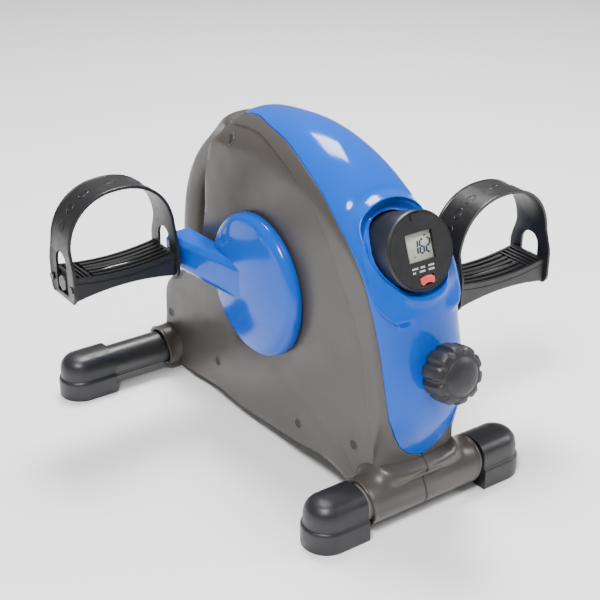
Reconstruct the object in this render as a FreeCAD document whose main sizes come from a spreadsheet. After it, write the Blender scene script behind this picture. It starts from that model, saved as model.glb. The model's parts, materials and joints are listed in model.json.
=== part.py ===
"""Pedal exerciser: a floor-standing pair of pedals with a friction-braked flywheel.

Frame: +Z up, the meter and the tension knob face -Y, the left side is -X.
The origin is on the floor in the middle of the object's box. Millimetres.
"""
import FreeCAD
import Part
import Sketcher
import math
import os

V = FreeCAD.Vector
X_AXIS, Y_AXIS, Z_AXIS = V(1, 0, 0), V(0, 1, 0), V(0, 0, 1)
SIDES = {"left": -1, "right": 1}

SIZES = {
    # stabilizer tubes and feet
    "tube_dia": 38, "tube_wall": 1.5, "tube_high": 27.5,
    "front_line": -174, "rear_line": 214,
    "front_tube_half": 114, "rear_tube_half": 177,
    "foot_front_start": 73, "foot_rear_start": 136,
    "foot_long": 58, "foot_half_wide": 25, "foot_ridge": 21, "foot_top_half": 22.5,
    "foot_solid_end": 17,
    "bolt_place": 43, "bolt_dia": 8, "bolt_flats": 13, "bolt_head": 4.6,
    "washer_dia": 17, "washer_thick": 1.5,
    # frame plate, saddles and housings
    "plate_place": -16, "plate_thick": 4, "saddle_half": 58, "saddle_thick": 2.5,
    "boss_hole_dia": 15,
    # crank
    "crank_line": 18, "crank_high": 180, "crank_throw": 117, "axle_dia": 17,
    "bearing_dia": 35, "bearing_wide": 10, "crank_house_dia": 41,
    "crank_house_left": -22, "crank_house_right": 30,
    "arm_place": 56, "arm_thick": 7, "crank_nut_thick": 3.5,
    "arm_wide": 25, "arm_boss_dia": 28, "arm_boss_out": 81,
    "disc_place": 51, "disc_dia": 151, "disc_edge": 11, "disc_dome": 8, "cover_wall": 2.5,
    "box_half_start": 21, "box_half_end": 18, "box_out_start": 68.5, "box_out_end": 84,
    "box_past": 18, "box_behind": 26, "box_off_disc": 2, "box_round": 3.5, "disc_round": 6,
    "cover_spindle_hole_rad": 10, "cover_hub_hole_rad": 22, "bearing_play": 0.03,
    "crank_nut_flats": 22, "axle_opening_rad": 14,
    # belt drive and flywheel
    "belt_place": -34, "belt_wide": 9, "belt_thick": 3, "belt_gap": 0.3,
    "drive_pulley_rad": 56, "fly_pulley_rad": 14, "pulley_wide": 12, "flange_rise": 4,
    "fly_line": -82, "fly_high": 137, "fly_rad": 52, "fly_wide": 18, "fly_axle_dia": 12,
    "fly_bearing_dia": 28, "fly_bearing_wide": 8, "fly_house_dia": 33,
    # knob, screw and brake, all on one sloping line
    "knob_line": -194.8, "knob_high": 161.5, "knob_slope": 12.2,
    "knob_rad": 28, "knob_start": 8, "knob_long": 31.5, "knob_dome": 5, "knob_flutes": 10,
    "screw_dia": 8, "screw_in": 34,
    "guide_start": 11, "guide_end": 56, "guide_half": 13, "guide_wall": 2,
    "carriage_start": 23, "carriage_long": 12, "carriage_half": 10.7,
    "spring_rad": 7, "spring_wire": 1.6, "spring_long": 14,
    "shoe_thick": 3, "pad_gap": 6.5,
    # shells
    "shell_half": 50, "shell_wall": 3, "sleeve_rad": 24, "sleeve_wall": 2,
    "front_sleeve_half": 68, "rear_sleeve_half": 66, "bar_rad": 17, "bar_wall": 3,
    "seam_gap": 0.2, "cover_gap": 0.4, "screw_boss_dia": 11, "shell_screw_dia": 4,
    "screw_head_dia": 7.6, "screw_head_deep": 3, "screw_recess_dia": 8.4,
    "screw_head_place": 34, "screw_far_end": 12, "tube_space": 0.4,
    "bolt_slot_long": 24, "bolt_slot_wide": 22,
    # meter
    "meter_line": -169.8, "meter_high": 270.3, "meter_slope": 19.7, "cup_rad": 37.7,
    "cup_deep": 42, "bezel_rad": 34.9, "bezel_gap": 0.3, "recess_rad": 38.2,
    "recess_wall": 2.4, "knob_hole_rad": 8.2,
    "window_wide": 31, "window_tall": 26, "window_up": 4, "button_down": 27,
    "button_wide": 16, "button_tall": 8, "button_out": 1.3,
    # pedals
    "pedal_start": 96, "pedal_end": 212, "pedal_wide": 47.6, "pedal_top": 12,
    "pedal_bottom": 14.5, "spindle_dia": 12, "bush_dia": 18, "bush_long": 8,
    "spindle_flats": 17, "pedal_nut_flats": 15, "stud_pin_dia": 4.8, "stud_head_dia": 8,
    "stud_place": 22, "pedal_ribs": 6, "rib_groove": 2.2,
    "strap_start": 92.5, "strap_end": 215.5, "strap_thick": 3, "strap_rise": 97,
    "strap_half": 21, "strap_end_half": 28, "strap_straight": 36,
}

# Side outline of the housing: place along Y, height, and how far the shoulder drops back
# from the crown by the time the side is reached.
HOUSING_OUTLINE = (
    (98, 336, 34), (50, 348.5, 43), (0, 350.5, 46), (-45, 343, 45), (-86, 326.5, 40),
    (-122, 303, 34), (-156, 275, 30), (-180, 240, 29), (-191, 196, 28), (-200, 151, 27),
    (-200, 108, 26), (-188, 76, 20), (-184, 54, 12), (-194, 30, 3), (-184, 12, 3),
    (-156, 14, 3), (-120, 21, 4), (-45, 19, 4), (89, 10, 4), (154, 8, 4), (206, 7, 4),
    (234, 28, 5), (232, 66, 10), (233, 96, 14), (222, 117, 14), (188, 131, 9),
    (158, 156, 7), (139, 198, 6), (133, 236, 6), (129, 276, 7), (120, 308, 10),
)
# Edge of the spine cover seen from the side, from its rear tip to its lower tip.
COVER_EDGE = (
    (104, 345), (92, 338.5), (74, 341), (32, 342), (-10, 336.5), (-39, 326.5), (-79, 307),
    (-107, 287), (-135, 264), (-153, 241), (-170, 198), (-179, 165), (-185, 135),
    (-187, 112), (-184, 92), (-184, 80), (-190, 73), (-206, 66),
)
# Centre line of the carrying handle, from the crown down to the rear of the housing.
HANDLE_LINE = (
    (90, 322), (135, 295), (179, 263), (204, 227), (216, 188), (220, 150), (221, 95),
)
# Screw pillars: place along Y and height.
PILLARS = ((77, 317), (211, 69), (108, 49), (-48, 46), (-139, 67))

doc = FreeCAD.newDocument("pedal_exerciser")
sheet = doc.addObject("Spreadsheet::Sheet", "dims")
nodes = []


def fill_sheet():
    for row, (name, value) in enumerate(SIZES.items(), 1):
        sheet.set("A%d" % row, name)
        sheet.set("B%d" % row, str(value))
        sheet.setAlias("B%d" % row, name)
    doc.recompute()


def size(name):
    """Value of one cell of the sheet."""
    return float(sheet.get(name))


def keep(obj, name):
    """Give a finished sub-part its label and list it for export."""
    obj.Label = name
    nodes.append(obj)
    return obj


def put(obj, base, direction=Z_AXIS):
    turn = FreeCAD.Rotation(Z_AXIS, V(*direction))
    obj.Placement = FreeCAD.Placement(V(*base), turn)
    return obj


def bind(obj, **cells):
    for prop, expression in cells.items():
        obj.setExpression(prop, expression)
    return obj


def cylinder(name, radius, height, base, direction=X_AXIS):
    obj = doc.addObject("Part::Cylinder", name)
    bind(obj, Radius=radius, Height=height)
    return put(obj, base, direction)


def box(name, length, width, height, base, turn=None):
    obj = doc.addObject("Part::Box", name)
    bind(obj, Length=length, Width=width, Height=height)
    obj.Placement = FreeCAD.Placement(V(*base), turn or FreeCAD.Rotation())
    return obj


def hexagon(name, flats, height, base, direction=X_AXIS):
    obj = doc.addObject("Part::Prism", name)
    bind(obj, Circumradius="(%s) / sqrt(3)" % flats, Height=height)
    return put(obj, base, direction)


def join(name, shapes):
    obj = doc.addObject("Part::MultiFuse", name)
    obj.Shapes = shapes
    return obj


def group(name, shapes):
    obj = doc.addObject("Part::Compound", name)
    obj.Links = shapes
    return obj


def cut(name, base, tool):
    obj = doc.addObject("Part::Cut", name)
    obj.Base = base
    obj.Tool = tool
    return obj


def cut_all(name, base, tools):
    return cut(name, base, join(name + "_holes", tools) if len(tools) > 1 else tools[0])


def feature(name, shape, spot=V(0, 0, 0)):
    """Keep a shape that was made about its own origin, and stand it at its spot."""
    obj = doc.addObject("Part::Feature", name)
    obj.Shape = shape
    obj.Placement = FreeCAD.Placement(spot, FreeCAD.Rotation())
    return obj


def make_sketch(body, plane):
    sketch = body.newObject("Sketcher::SketchObject", body.Name + "_outline")
    origin = [o for o in body.Origin.OriginFeatures if o.Role == plane][0]
    sketch.AttachmentSupport = [(origin, "")]
    sketch.MapMode = "FlatFace"
    return sketch


def draw(sketch, corners):
    """Closed outline through corners, each an (x, y) pair of sheet expressions."""
    spots = [tuple(float(sheet.evalExpression(word)) for word in pair) for pair in corners]
    first = sketch.GeometryCount
    count = len(corners)
    for i, spot in enumerate(spots):
        after = spots[(i + 1) % count]
        sketch.addGeometry(Part.LineSegment(V(*spot, 0), V(*after, 0)), False)
    for i in range(count):
        after = first + (i + 1) % count
        sketch.addConstraint(Sketcher.Constraint("Coincident", first + i, 2, after, 1))
    for i, (spot, words) in enumerate(zip(spots, corners)):
        for kind, value, word, line in zip(("DistanceX", "DistanceY"), spot, words, (-2, -1)):
            if abs(value) < 1e-9:
                sketch.addConstraint(Sketcher.Constraint("PointOnObject", first + i, 1, line))
            else:
                fixed = Sketcher.Constraint(kind, -1, 1, first + i, 1, value)
                number = sketch.addConstraint(fixed)
                sketch.setExpression("Constraints[%d]" % number, word)


def turned(name, corners):
    """Body turned about its own Z axis; corners are (radius, height) expressions."""
    body = doc.addObject("PartDesign::Body", name)
    sketch = make_sketch(body, "XZ_Plane")
    draw(sketch, corners)
    feat = body.newObject("PartDesign::Revolution", name + "_turn")
    feat.Profile = sketch
    feat.ReferenceAxis = (sketch, ["V_Axis"])
    feat.Angle = 360
    return body


def padded(name, plane, corners, length, middle=False):
    body = doc.addObject("PartDesign::Body", name)
    sketch = make_sketch(body, plane)
    draw(sketch, corners)
    feat = body.newObject("PartDesign::Pad", name + "_pad")
    feat.Profile = sketch
    feat.setExpression("Length", length)
    feat.Midplane = middle
    return body


# ---------------------------------------------------------------- free-form outlines

def spline_wire(spots, closed):
    curve = Part.BSplineCurve()
    curve.interpolate(Points=spots, PeriodicFlag=closed)
    return curve


def outline_normals():
    """Outward unit normals of the housing outline at its points, in the side view."""
    curve = spline_wire([V(0, y, z) for y, z, drop in HOUSING_OUTLINE], True)
    normals = []
    for y, z, drop in HOUSING_OUTLINE:
        along = curve.tangent(curve.parameter(V(0, y, z)))[0]
        normals.append(V(0, -along.z, along.y) * -1)
    return normals


def pillow(wall):
    """One side of the housing, from the middle outwards to +X, set in by wall."""
    half = size("shell_half")
    normals = outline_normals()
    wires = []
    for angle in (0, 20, 36, 50, 62, 73, 83, 90):
        across = math.sin(math.radians(angle))
        fall = 1 - math.cos(math.radians(angle))
        spots = []
        for (y, z, drop), normal in zip(HOUSING_OUTLINE, normals):
            spot = V(0, y, z) - normal * (wall + drop * fall)
            spots.append(V((half - wall) * across, spot.y, spot.z))
        wires.append(Part.Wire(spline_wire(spots, True).toShape()))
    return Part.makeLoft(wires, True, False)


def cover_region(back_off):
    """Everything in front of and above the edge of the spine cover, moved by back_off."""
    spots = [V(-90, y, z) for y, z in COVER_EDGE]
    curve = spline_wire(spots, False)
    moved = []
    for spot in spots:
        along = curve.tangent(curve.parameter(spot))[0]
        moved.append(spot + V(0, along.z, -along.y) * -back_off)
    edge = spline_wire(moved, False).toShape()
    far = [moved[-1], V(-90, -320, 40), V(-90, -320, 420), V(-90, 120, 420), moved[0]]
    lines = [Part.LineSegment(a, b).toShape() for a, b in zip(far, far[1:])]
    return Part.Face(Part.Wire([edge] + lines)).extrude(V(180, 0, 0))


def rod_along_x(radius, y, z, start, end):
    return Part.makeCylinder(radius, end - start, V(start, y, z), X_AXIS)


def pipe_along(spots, radius):
    curve = spline_wire([V(0, y, z) for y, z in spots], False)
    start = curve.value(curve.FirstParameter)
    along = curve.tangent(curve.FirstParameter)[0]
    ring = Part.Wire(Part.makeCircle(radius, start, along))
    return Part.Wire(curve.toShape()).makePipeShell([ring], True, False)


def slope_line(line, high, slope):
    """Start point and inward direction of a line that rises towards the front."""
    angle = math.radians(size(slope))
    return V(0, size(line), size(high)), V(0, math.cos(angle), -math.sin(angle))


def knob_spot(along):
    start, inward = slope_line("knob_line", "knob_high", "knob_slope")
    return start + inward * along


def meter_spot(depth, up=0.0, across=0.0):
    """Point of the meter: depth behind its face, up and across on its face."""
    start, inward = slope_line("meter_line", "meter_high", "meter_slope")
    return start + inward * depth + V(across, -inward.z * up, inward.y * up)


def on_slope(obj, spot, inward):
    """Turn an object made along +Z so that +Z points inwards and its X stays level."""
    turn = FreeCAD.Rotation(X_AXIS, X_AXIS.cross(inward) * -1, inward, "ZXY")
    obj.Placement = FreeCAD.Placement(spot, turn)
    return obj


# ---------------------------------------------------------------- housing

def housing_half(name, side):
    half_gap = size("seam_gap") / 2
    high = size("tube_high")
    reach = size("sleeve_rad")
    inner = reach - size("sleeve_wall")
    bar = size("bar_rad")
    ends = (("front_line", "front_sleeve_half"), ("rear_line", "rear_sleeve_half"))
    outer = pillow(0)
    hollow = pillow(size("shell_wall"))
    tubes, spaces, bores, slots = [], [], [], []
    for line, width in ends:
        y, end = size(line), size(width)
        tubes.append(rod_along_x(reach, y, high, 0, end))
        spaces.append(rod_along_x(inner, y, high, -1, end - size("sleeve_wall")))
        bores.append(rod_along_x(size("tube_dia") / 2 + size("tube_space"), y, high, -1,
                                 end + 1))
        long, wide = size("bolt_slot_long"), size("bolt_slot_wide")
        slots.append(Part.makeBox(long, wide, 14,
                                  V(size("bolt_place") - long / 2, y - wide / 2, -2)))
    handle = pipe_along(HANDLE_LINE, bar)
    handle_space = pipe_along(HANDLE_LINE, bar - size("bar_wall"))
    solid = outer
    for piece in tubes + [handle]:
        solid = solid.fuse(piece)
    for space in spaces + [hollow, handle_space]:
        solid = solid.cut(space)
    for y, z in PILLARS:
        pillar = rod_along_x(size("screw_boss_dia") / 2, y, z, 0, size("shell_half"))
        solid = solid.fuse(pillar.common(outer))
    axle = rod_along_x(size("axle_opening_rad"), size("crank_line"), size("crank_high"), 0, 60)
    for space in bores + slots + [axle]:
        solid = solid.cut(space)
    for y, z in PILLARS:
        if side < 0:
            solid = solid.cut(rod_along_x(size("screw_recess_dia") / 2, y, z,
                                          size("screw_head_place"), 60))
            solid = solid.cut(rod_along_x(size("shell_screw_dia") / 2, y, z, -1, 60))
        else:
            solid = solid.cut(rod_along_x(size("shell_screw_dia") / 2, y, z, -1,
                                          size("screw_far_end") + 2))
    solid = solid.cut(cover_region(size("cover_gap")))
    solid = solid.cut(Part.makeBox(half_gap + 100, 600, 500, V(-100, -300, -10)))
    if side < 0:
        solid = solid.mirror(V(0, 0, 0), X_AXIS)
    return keep(feature(name, solid), name)


def spine_cover():
    outer = pillow(0)
    inner = pillow(size("shell_wall"))
    skin = outer.cut(inner)
    skin = skin.common(cover_region(0))
    skin = skin.fuse(skin.mirror(V(0, 0, 0), X_AXIS)).removeSplitter()
    start, inward = slope_line("meter_line", "meter_high", "meter_slope")
    collar = Part.makeCylinder(size("recess_rad") + size("recess_wall"), size("cup_deep"),
                               start, inward)
    both_sides = outer.fuse(outer.mirror(V(0, 0, 0), X_AXIS))
    skin = skin.fuse(collar.common(both_sides).common(cover_region(0)))
    recess = Part.makeCylinder(size("recess_rad"), 160, start - inward * 70, inward)
    hole = Part.makeCylinder(size("knob_hole_rad"), 40, knob_spot(-20), slope_line(
        "knob_line", "knob_high", "knob_slope")[1])
    return keep(feature("front_cover", skin.cut(recess.fuse(hole))), "front_cover")


def shell_screws():
    screws = []
    place = -size("screw_head_place")
    for i, (y, z) in enumerate(PILLARS):
        head = cylinder("shell_screw_head_%d" % i, "dims.screw_head_dia / 2",
                        "dims.screw_head_deep", (place - size("screw_head_deep"), y, z))
        shank = cylinder("shell_screw_shank_%d" % i, "dims.shell_screw_dia / 2 - 0.1",
                         "dims.screw_head_place + dims.screw_far_end", (place, y, z))
        screws.append(join("shell_screw_%d" % i, [head, shank]))
    return keep(group("shell_screws", screws), "shell_screws")


# ---------------------------------------------------------------- frame and feet

def stabilizers():
    for name, line, half in (("front_stabilizer", "front_line", "front_tube_half"),
                             ("rear_stabilizer", "rear_line", "rear_tube_half")):
        long = "2 * dims.%s" % half
        base = (-size(half), size(line), size("tube_high"))
        outside = cylinder(name + "_outside", "dims.tube_dia / 2", long, base)
        bore = cylinder(name + "_bore", "dims.tube_dia / 2 - dims.tube_wall", long, base)
        holes = [bore]
        for side in (-1, 1):
            spot = (side * size("bolt_place"), size(line), 0)
            holes.append(cylinder("%s_bolt_hole_%d" % (name, side + 2),
                                  "dims.bolt_dia / 2 + 0.2", "60", spot, Z_AXIS))
        keep(cut_all(name, outside, holes), name)


def foot(name, side, line, start):
    """Cap over a tube end: a long block with a half-round end and a domed top."""
    wide, ridge, top = "dims.foot_half_wide", "dims.foot_ridge", "dims.foot_top_half"
    section = [("-" + wide, "0"), (wide, "0"), (wide, ridge), (top, ridge + " + 1.5"),
               (top, "dims.tube_high + 7"), (top + " * 0.86", "dims.tube_high + 15.5"),
               (top + " * 0.5", "dims.tube_high + 20.8"), ("0", "dims.tube_high + 22.5"),
               ("-" + top + " * 0.5", "dims.tube_high + 20.8"),
               ("-" + top + " * 0.86", "dims.tube_high + 15.5"),
               ("-" + top, "dims.tube_high + 7"), ("-" + top, ridge + " + 1.5"),
               ("-" + wide, ridge)]
    block = padded(name + "_block", "YZ_Plane", section,
                   "dims.foot_long - dims.foot_half_wide")
    end = turned(name + "_end", [("0", "0")] + section[1:8])
    place = side * size(start)
    straight = size("foot_long") - size("foot_half_wide")
    left = place if side > 0 else place - straight
    block.Placement = FreeCAD.Placement(V(left, size(line), 0), FreeCAD.Rotation())
    turn_spot = V(place + side * straight, size(line), 0)
    end.Placement = FreeCAD.Placement(turn_spot, FreeCAD.Rotation())
    solid = join(name + "_solid", [block, end])
    bore = cylinder(name + "_bore", "dims.tube_dia / 2", "dims.foot_long - dims.foot_solid_end",
                    (place, size(line), size("tube_high")), X_AXIS * side)
    return keep(cut(name, solid, bore), name)


def stabilizer_bolts():
    bolts, washers = [], []
    tube_low = size("tube_high") - size("tube_dia") / 2
    for line in ("front_line", "rear_line"):
        for side in (-1, 1):
            tag = "%s_%d" % (line, side + 2)
            x, y = side * size("bolt_place"), size(line)
            under = tube_low - size("washer_thick")
            head = hexagon("bolt_head_" + tag, "dims.bolt_flats", "dims.bolt_head",
                           (x, y, under - size("bolt_head")), Z_AXIS)
            shank = cylinder("bolt_shank_" + tag, "dims.bolt_dia / 2", "40.5",
                             (x, y, under), Z_AXIS)
            bolts.append(join("bolt_" + tag, [head, shank]))
            disc = cylinder("washer_disc_" + tag, "dims.washer_dia / 2", "dims.washer_thick",
                            (x, y, under), Z_AXIS)
            hole = cylinder("washer_hole_" + tag, "dims.bolt_dia / 2 + 0.1", "5",
                            (x, y, under - 1), Z_AXIS)
            washers.append(cut("washer_" + tag, disc, hole))
    keep(group("stabilizer_bolts", bolts), "stabilizer_bolts")
    keep(group("stabilizer_washers", washers), "stabilizer_washers")


def main_frame():
    """Upright plate with a saddle over each tube, two axle housings and a brake guide."""
    front, rear, high = size("front_line"), size("rear_line"), size("tube_high")
    plate_corners = [
        (front - 3, high + 12), (front + 22, high + 12), (front + 24, 80), (-118, 86),
        (150, 84), (rear - 40, 74), (rear - 38, high + 12), (rear - 10, high + 12),
        (rear - 12, 92), (rear - 34, 102), (150, 108), (74, 132), (52, 208), (-14, 210),
        (-60, 196), (-120, 188), (-178, 180), (-182, 128), (-160, 108), (front - 3, 84)]
    body = padded("frame_plate", "YZ_Plane",
                  [("%g" % y, "%g" % z) for y, z in plate_corners], "dims.plate_thick", True)
    body.Placement = FreeCAD.Placement(V(size("plate_place"), 0, 0), FreeCAD.Rotation())
    solids, holes = [body], []
    for tag, y in (("front", front), ("rear", rear)):
        ring = cylinder(tag + "_saddle_ring", "dims.tube_dia / 2 + dims.saddle_thick",
                        "2 * dims.saddle_half", (-size("saddle_half"), y, high))
        below = box(tag + "_saddle_below", "2 * dims.saddle_half + 2", "80", "40",
                    (-size("saddle_half") - 1, y - 40, high - 33))
        solids.append(cut(tag + "_saddle", ring, below))
        holes.append(cylinder(tag + "_tube_space", "dims.tube_dia / 2",
                              "2 * dims.saddle_half + 4", (-size("saddle_half") - 2, y, high)))
        for side in (-1, 1):
            holes.append(cylinder("%s_saddle_hole_%d" % (tag, side + 2), "dims.bolt_dia / 2",
                                  "60", (side * size("bolt_place"), y, 0), Z_AXIS))
    crank = (size("crank_house_left"), size("crank_line"), size("crank_high"))
    long = "dims.crank_house_right - dims.crank_house_left"
    solids.append(cylinder("crank_house", "dims.crank_house_dia / 2", long, crank))
    holes.append(cylinder("crank_house_bore", "dims.bearing_dia / 2", long, crank))
    fly = (size("plate_place") - size("fly_bearing_wide") - 2, size("fly_line"),
           size("fly_high"))
    solids.append(cylinder("fly_house", "dims.fly_house_dia / 2", "2 * dims.fly_bearing_wide",
                           fly))
    holes.append(cylinder("fly_house_bore", "dims.fly_bearing_dia / 2",
                          "2 * dims.fly_bearing_wide", fly))
    for i, (y, z) in enumerate(PILLARS):
        holes.append(cylinder("pillar_hole_%d" % i, "dims.boss_hole_dia / 2", "20",
                              (size("plate_place") - 10, y, z)))
    solids.append(brake_guide())
    welded = join("frame_weldment", solids)
    return keep(cut_all("main_frame", welded, holes), "main_frame")


def brake_guide():
    """Square channel that carries the screw and guides the brake carriage."""
    inward = slope_line("knob_line", "knob_high", "knob_slope")[1]
    outer = box("guide_outer", "2 * dims.guide_half + 3", "2 * dims.guide_half",
                "dims.guide_end - dims.guide_start", (0, 0, 0))
    inner = box("guide_inner", "2 * dims.guide_half - 2 * dims.guide_wall",
                "2 * dims.guide_half - 2 * dims.guide_wall", "60", (0, 0, 0))
    half, wall = size("guide_half"), size("guide_wall")
    up = X_AXIS.cross(inward) * -1
    start = knob_spot(size("guide_start"))
    on_slope(outer, start - X_AXIS * (half + 3) - up * half, inward)
    in_half = half - wall
    inside = knob_spot(size("guide_start") + wall)
    on_slope(inner, inside - X_AXIS * in_half - up * in_half, inward)
    bore = cylinder("guide_bore", "dims.screw_dia / 2 + 0.05", "20",
                    knob_spot(size("guide_start") - 5), inward)
    return cut_all("guide_channel", outer, [inner, bore])


# ---------------------------------------------------------------- crank

def bearing(name, outside, bore, wide, base):
    disc = cylinder(name + "_disc", outside, wide, base)
    hole = cylinder(name + "_hole", bore, wide, base)
    return keep(cut(name, disc, hole), name)


def crank_set():
    y, z = size("crank_line"), size("crank_high")
    reach = size("arm_place") + size("arm_thick") + size("crank_nut_thick")
    keep(cylinder("crank_axle", "dims.axle_dia / 2", "%g" % (2 * reach), (-reach, y, z)),
         "crank_axle")
    for name, x in (("left_crank_bearing", size("crank_house_left")),
                    ("right_crank_bearing", size("crank_house_right") - size("bearing_wide"))):
        bearing(name, "dims.bearing_dia / 2", "dims.axle_dia / 2 + dims.bearing_play",
                "dims.bearing_wide", (x, y, z))
    nuts = []
    for name, side in SIDES.items():
        crank_arm(name, side)
        crank_cover(name, side)
        nut = hexagon(name + "_crank_nut_hex", "dims.crank_nut_flats", "dims.crank_nut_thick",
                      (side * (size("arm_place") + size("arm_thick")), y, z), X_AXIS * side)
        hole = cylinder(name + "_crank_nut_bore", "dims.axle_dia / 2", "40",
                        (side * 50, y, z), X_AXIS * side)
        nuts.append(cut(name + "_crank_nut", nut, hole))
    keep(group("crank_nuts", nuts), "crank_nuts")


def pedal_line(side):
    """Place along Y of a pedal's spindle: the left crank points back, the right forward."""
    return size("crank_line") - side * size("crank_throw")


def crank_arm(name, side):
    y, z = size("crank_line"), size("crank_high")
    start = side * size("arm_place")
    out = X_AXIS * side
    far = pedal_line(side)
    bar = box(name + "_arm_bar", "dims.arm_thick", "dims.crank_throw", "dims.arm_wide",
              (min(start, start + side * size("arm_thick")), min(y, far),
               z - size("arm_wide") / 2))
    hub = cylinder(name + "_arm_hub", "dims.arm_boss_dia / 2", "dims.arm_thick", (start, y, z),
                   out)
    boss = cylinder(name + "_arm_boss", "dims.arm_boss_dia / 2",
                    "dims.arm_boss_out - dims.arm_place", (start, far, z), out)
    axle = cylinder(name + "_arm_axle_hole", "dims.axle_dia / 2", "40", (side * 50, y, z), out)
    spindle = cylinder(name + "_arm_spindle_hole", "dims.spindle_dia / 2", "40",
                       (side * 55, far, z), out)
    arm = join(name + "_arm_solid", [bar, hub, boss])
    keep(cut_all(name + "_crank_arm", arm, [axle, spindle]), name + "_crank_arm")


def cover_box(less):
    """Corners, in the top view of a crank cover, of the box over the arm, set in by less."""
    near = size("disc_place") + size("box_off_disc") + less
    past = size("crank_throw") + size("box_past") - less
    out = size("box_out_end") - less
    return [(near, -size("box_behind")), (size("box_out_start") - less, -size("box_behind") + 4),
            (out, size("crank_throw") - 10), (out, past), (near, past)]


def crank_cover(name, side):
    """Domed disc with a tapering box over the crank arm, hollow inside."""
    wall = size("cover_wall")
    shapes = []
    for less in (0, wall):
        rad = size("disc_dia") / 2 - less
        edge, dome = size("disc_edge") - less, size("disc_dome")
        start = size("disc_place")
        rim = size("disc_round") - less * 0.8
        spots = [V(start, 0, 0), V(start, rad, 0), V(start + edge - rim, rad, 0),
                 V(start + edge, rad - rim, 0), V(start + edge + dome, 0, 0)]
        mid = V(start + edge - rim * 0.3, rad - rim * 0.3, 0)
        bulge = V(start + edge + dome * 0.75, (rad - rim) * 0.5, 0)
        edges = [Part.LineSegment(spots[0], spots[1]).toShape(),
                 Part.LineSegment(spots[1], spots[2]).toShape(),
                 Part.Arc(spots[2], mid, spots[3]).toShape(),
                 Part.Arc(spots[3], bulge, spots[4]).toShape(),
                 Part.LineSegment(spots[4], spots[0]).toShape()]
        disc = Part.Face(Part.Wire(edges)).revolve(V(0, 0, 0), X_AXIS, 360)
        plan = cover_box(less)
        half_a, half_b = size("box_half_start") - less, size("box_half_end") - less
        plan_wire = Part.makePolygon([V(x, y, -40) for x, y in plan + plan[:1]])
        slab = Part.Face(plan_wire).extrude(V(0, 0, 80))
        behind, past = -size("box_behind"), size("crank_throw") + size("box_past")
        side_wire = Part.makePolygon([
            V(0, behind, -half_a), V(0, past, -half_b), V(0, past, half_b),
            V(0, behind, half_a), V(0, behind, -half_a)])
        wedge = Part.Face(side_wire).extrude(V(120, 0, 0))
        arm = slab.common(wedge)
        edges = [e for e in arm.Edges if e.BoundBox.XMin > start + 12 - less]
        arm = arm.makeFillet(size("box_round") - less * 0.9, edges)
        shapes.append(disc.fuse(arm).removeSplitter())
    solid = shapes[0].cut(shapes[1])
    spindle_hole, hub_hole = size("cover_spindle_hole_rad"), size("cover_hub_hole_rad")
    out = size("arm_boss_out") - 10
    solid = solid.cut(rod_along_x(spindle_hole, size("crank_throw"), 0, out, out + 20))
    solid = solid.cut(rod_along_x(hub_hole, 0, 0, size("shell_half"), size("arm_place")))
    if side > 0:
        solid = solid.mirror(V(0, 0, 0), Y_AXIS)
    else:
        solid = solid.mirror(V(0, 0, 0), X_AXIS)
    spot = V(0, size("crank_line"), size("crank_high"))
    keep(feature(name + "_crank_cover", solid, spot), name + "_crank_cover")


# ---------------------------------------------------------------- belt drive, flywheel

def pulley(name, rad, bore, line, high, web):
    """Flat-belt pulley turned about its axle, with a flange on each side."""
    rim, rise, half = "dims." + rad, "dims.flange_rise", "dims.pulley_wide / 2"
    groove = "dims.belt_wide / 2 + 0.3"
    corners = [(bore, "-" + half), (rim + " + " + rise, "-" + half),
               (rim + " + " + rise, "-(%s)" % groove), (rim, "-(%s)" % groove),
               (rim, groove), (rim + " + " + rise, groove), (rim + " + " + rise, half)]
    if web:
        corners += [(rim + " - 5", half), (rim + " - 5", "0"), (bore + " + 8", "0"),
                    (bore + " + 8", half), (bore, half)]
    else:
        corners += [(bore, half)]
    body = turned(name, corners)
    spot = V(size("belt_place"), size(line), size(high))
    body.Placement = FreeCAD.Placement(spot, FreeCAD.Rotation(Z_AXIS, X_AXIS * -1))
    return keep(body, name)


def drive_belt():
    """Endless belt around the two pulleys."""
    big = V(0, size("crank_line"), size("crank_high"))
    small = V(0, size("fly_line"), size("fly_high"))
    rad_big, rad_small = size("drive_pulley_rad"), size("fly_pulley_rad")
    between = small - big
    lean = math.acos((rad_big - rad_small) / between.Length)
    heading = math.atan2(between.z, between.y)
    faces = []
    for out in (size("belt_gap"), size("belt_gap") + size("belt_thick")):
        def at(centre, rad, angle):
            angle += heading
            return centre + V(0, math.cos(angle), math.sin(angle)) * (rad + out)
        big_arc = Part.Arc(at(big, rad_big, lean), at(big, rad_big, math.pi),
                           at(big, rad_big, -lean))
        small_arc = Part.Arc(at(small, rad_small, -lean), at(small, rad_small, 0),
                             at(small, rad_small, lean))
        lower = Part.LineSegment(at(big, rad_big, -lean), at(small, rad_small, -lean))
        upper = Part.LineSegment(at(small, rad_small, lean), at(big, rad_big, lean))
        wire = Part.Wire([e.toShape() for e in (big_arc, lower, small_arc, upper)])
        faces.append(Part.Face(wire))
    wide = size("belt_wide")
    solids = [face.extrude(V(wide, 0, 0)) for face in faces]
    belt = solids[1].cut(solids[0])
    spot = V(size("belt_place") - wide / 2, 0, 0)
    keep(feature("drive_belt", belt, spot), "drive_belt")


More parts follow.
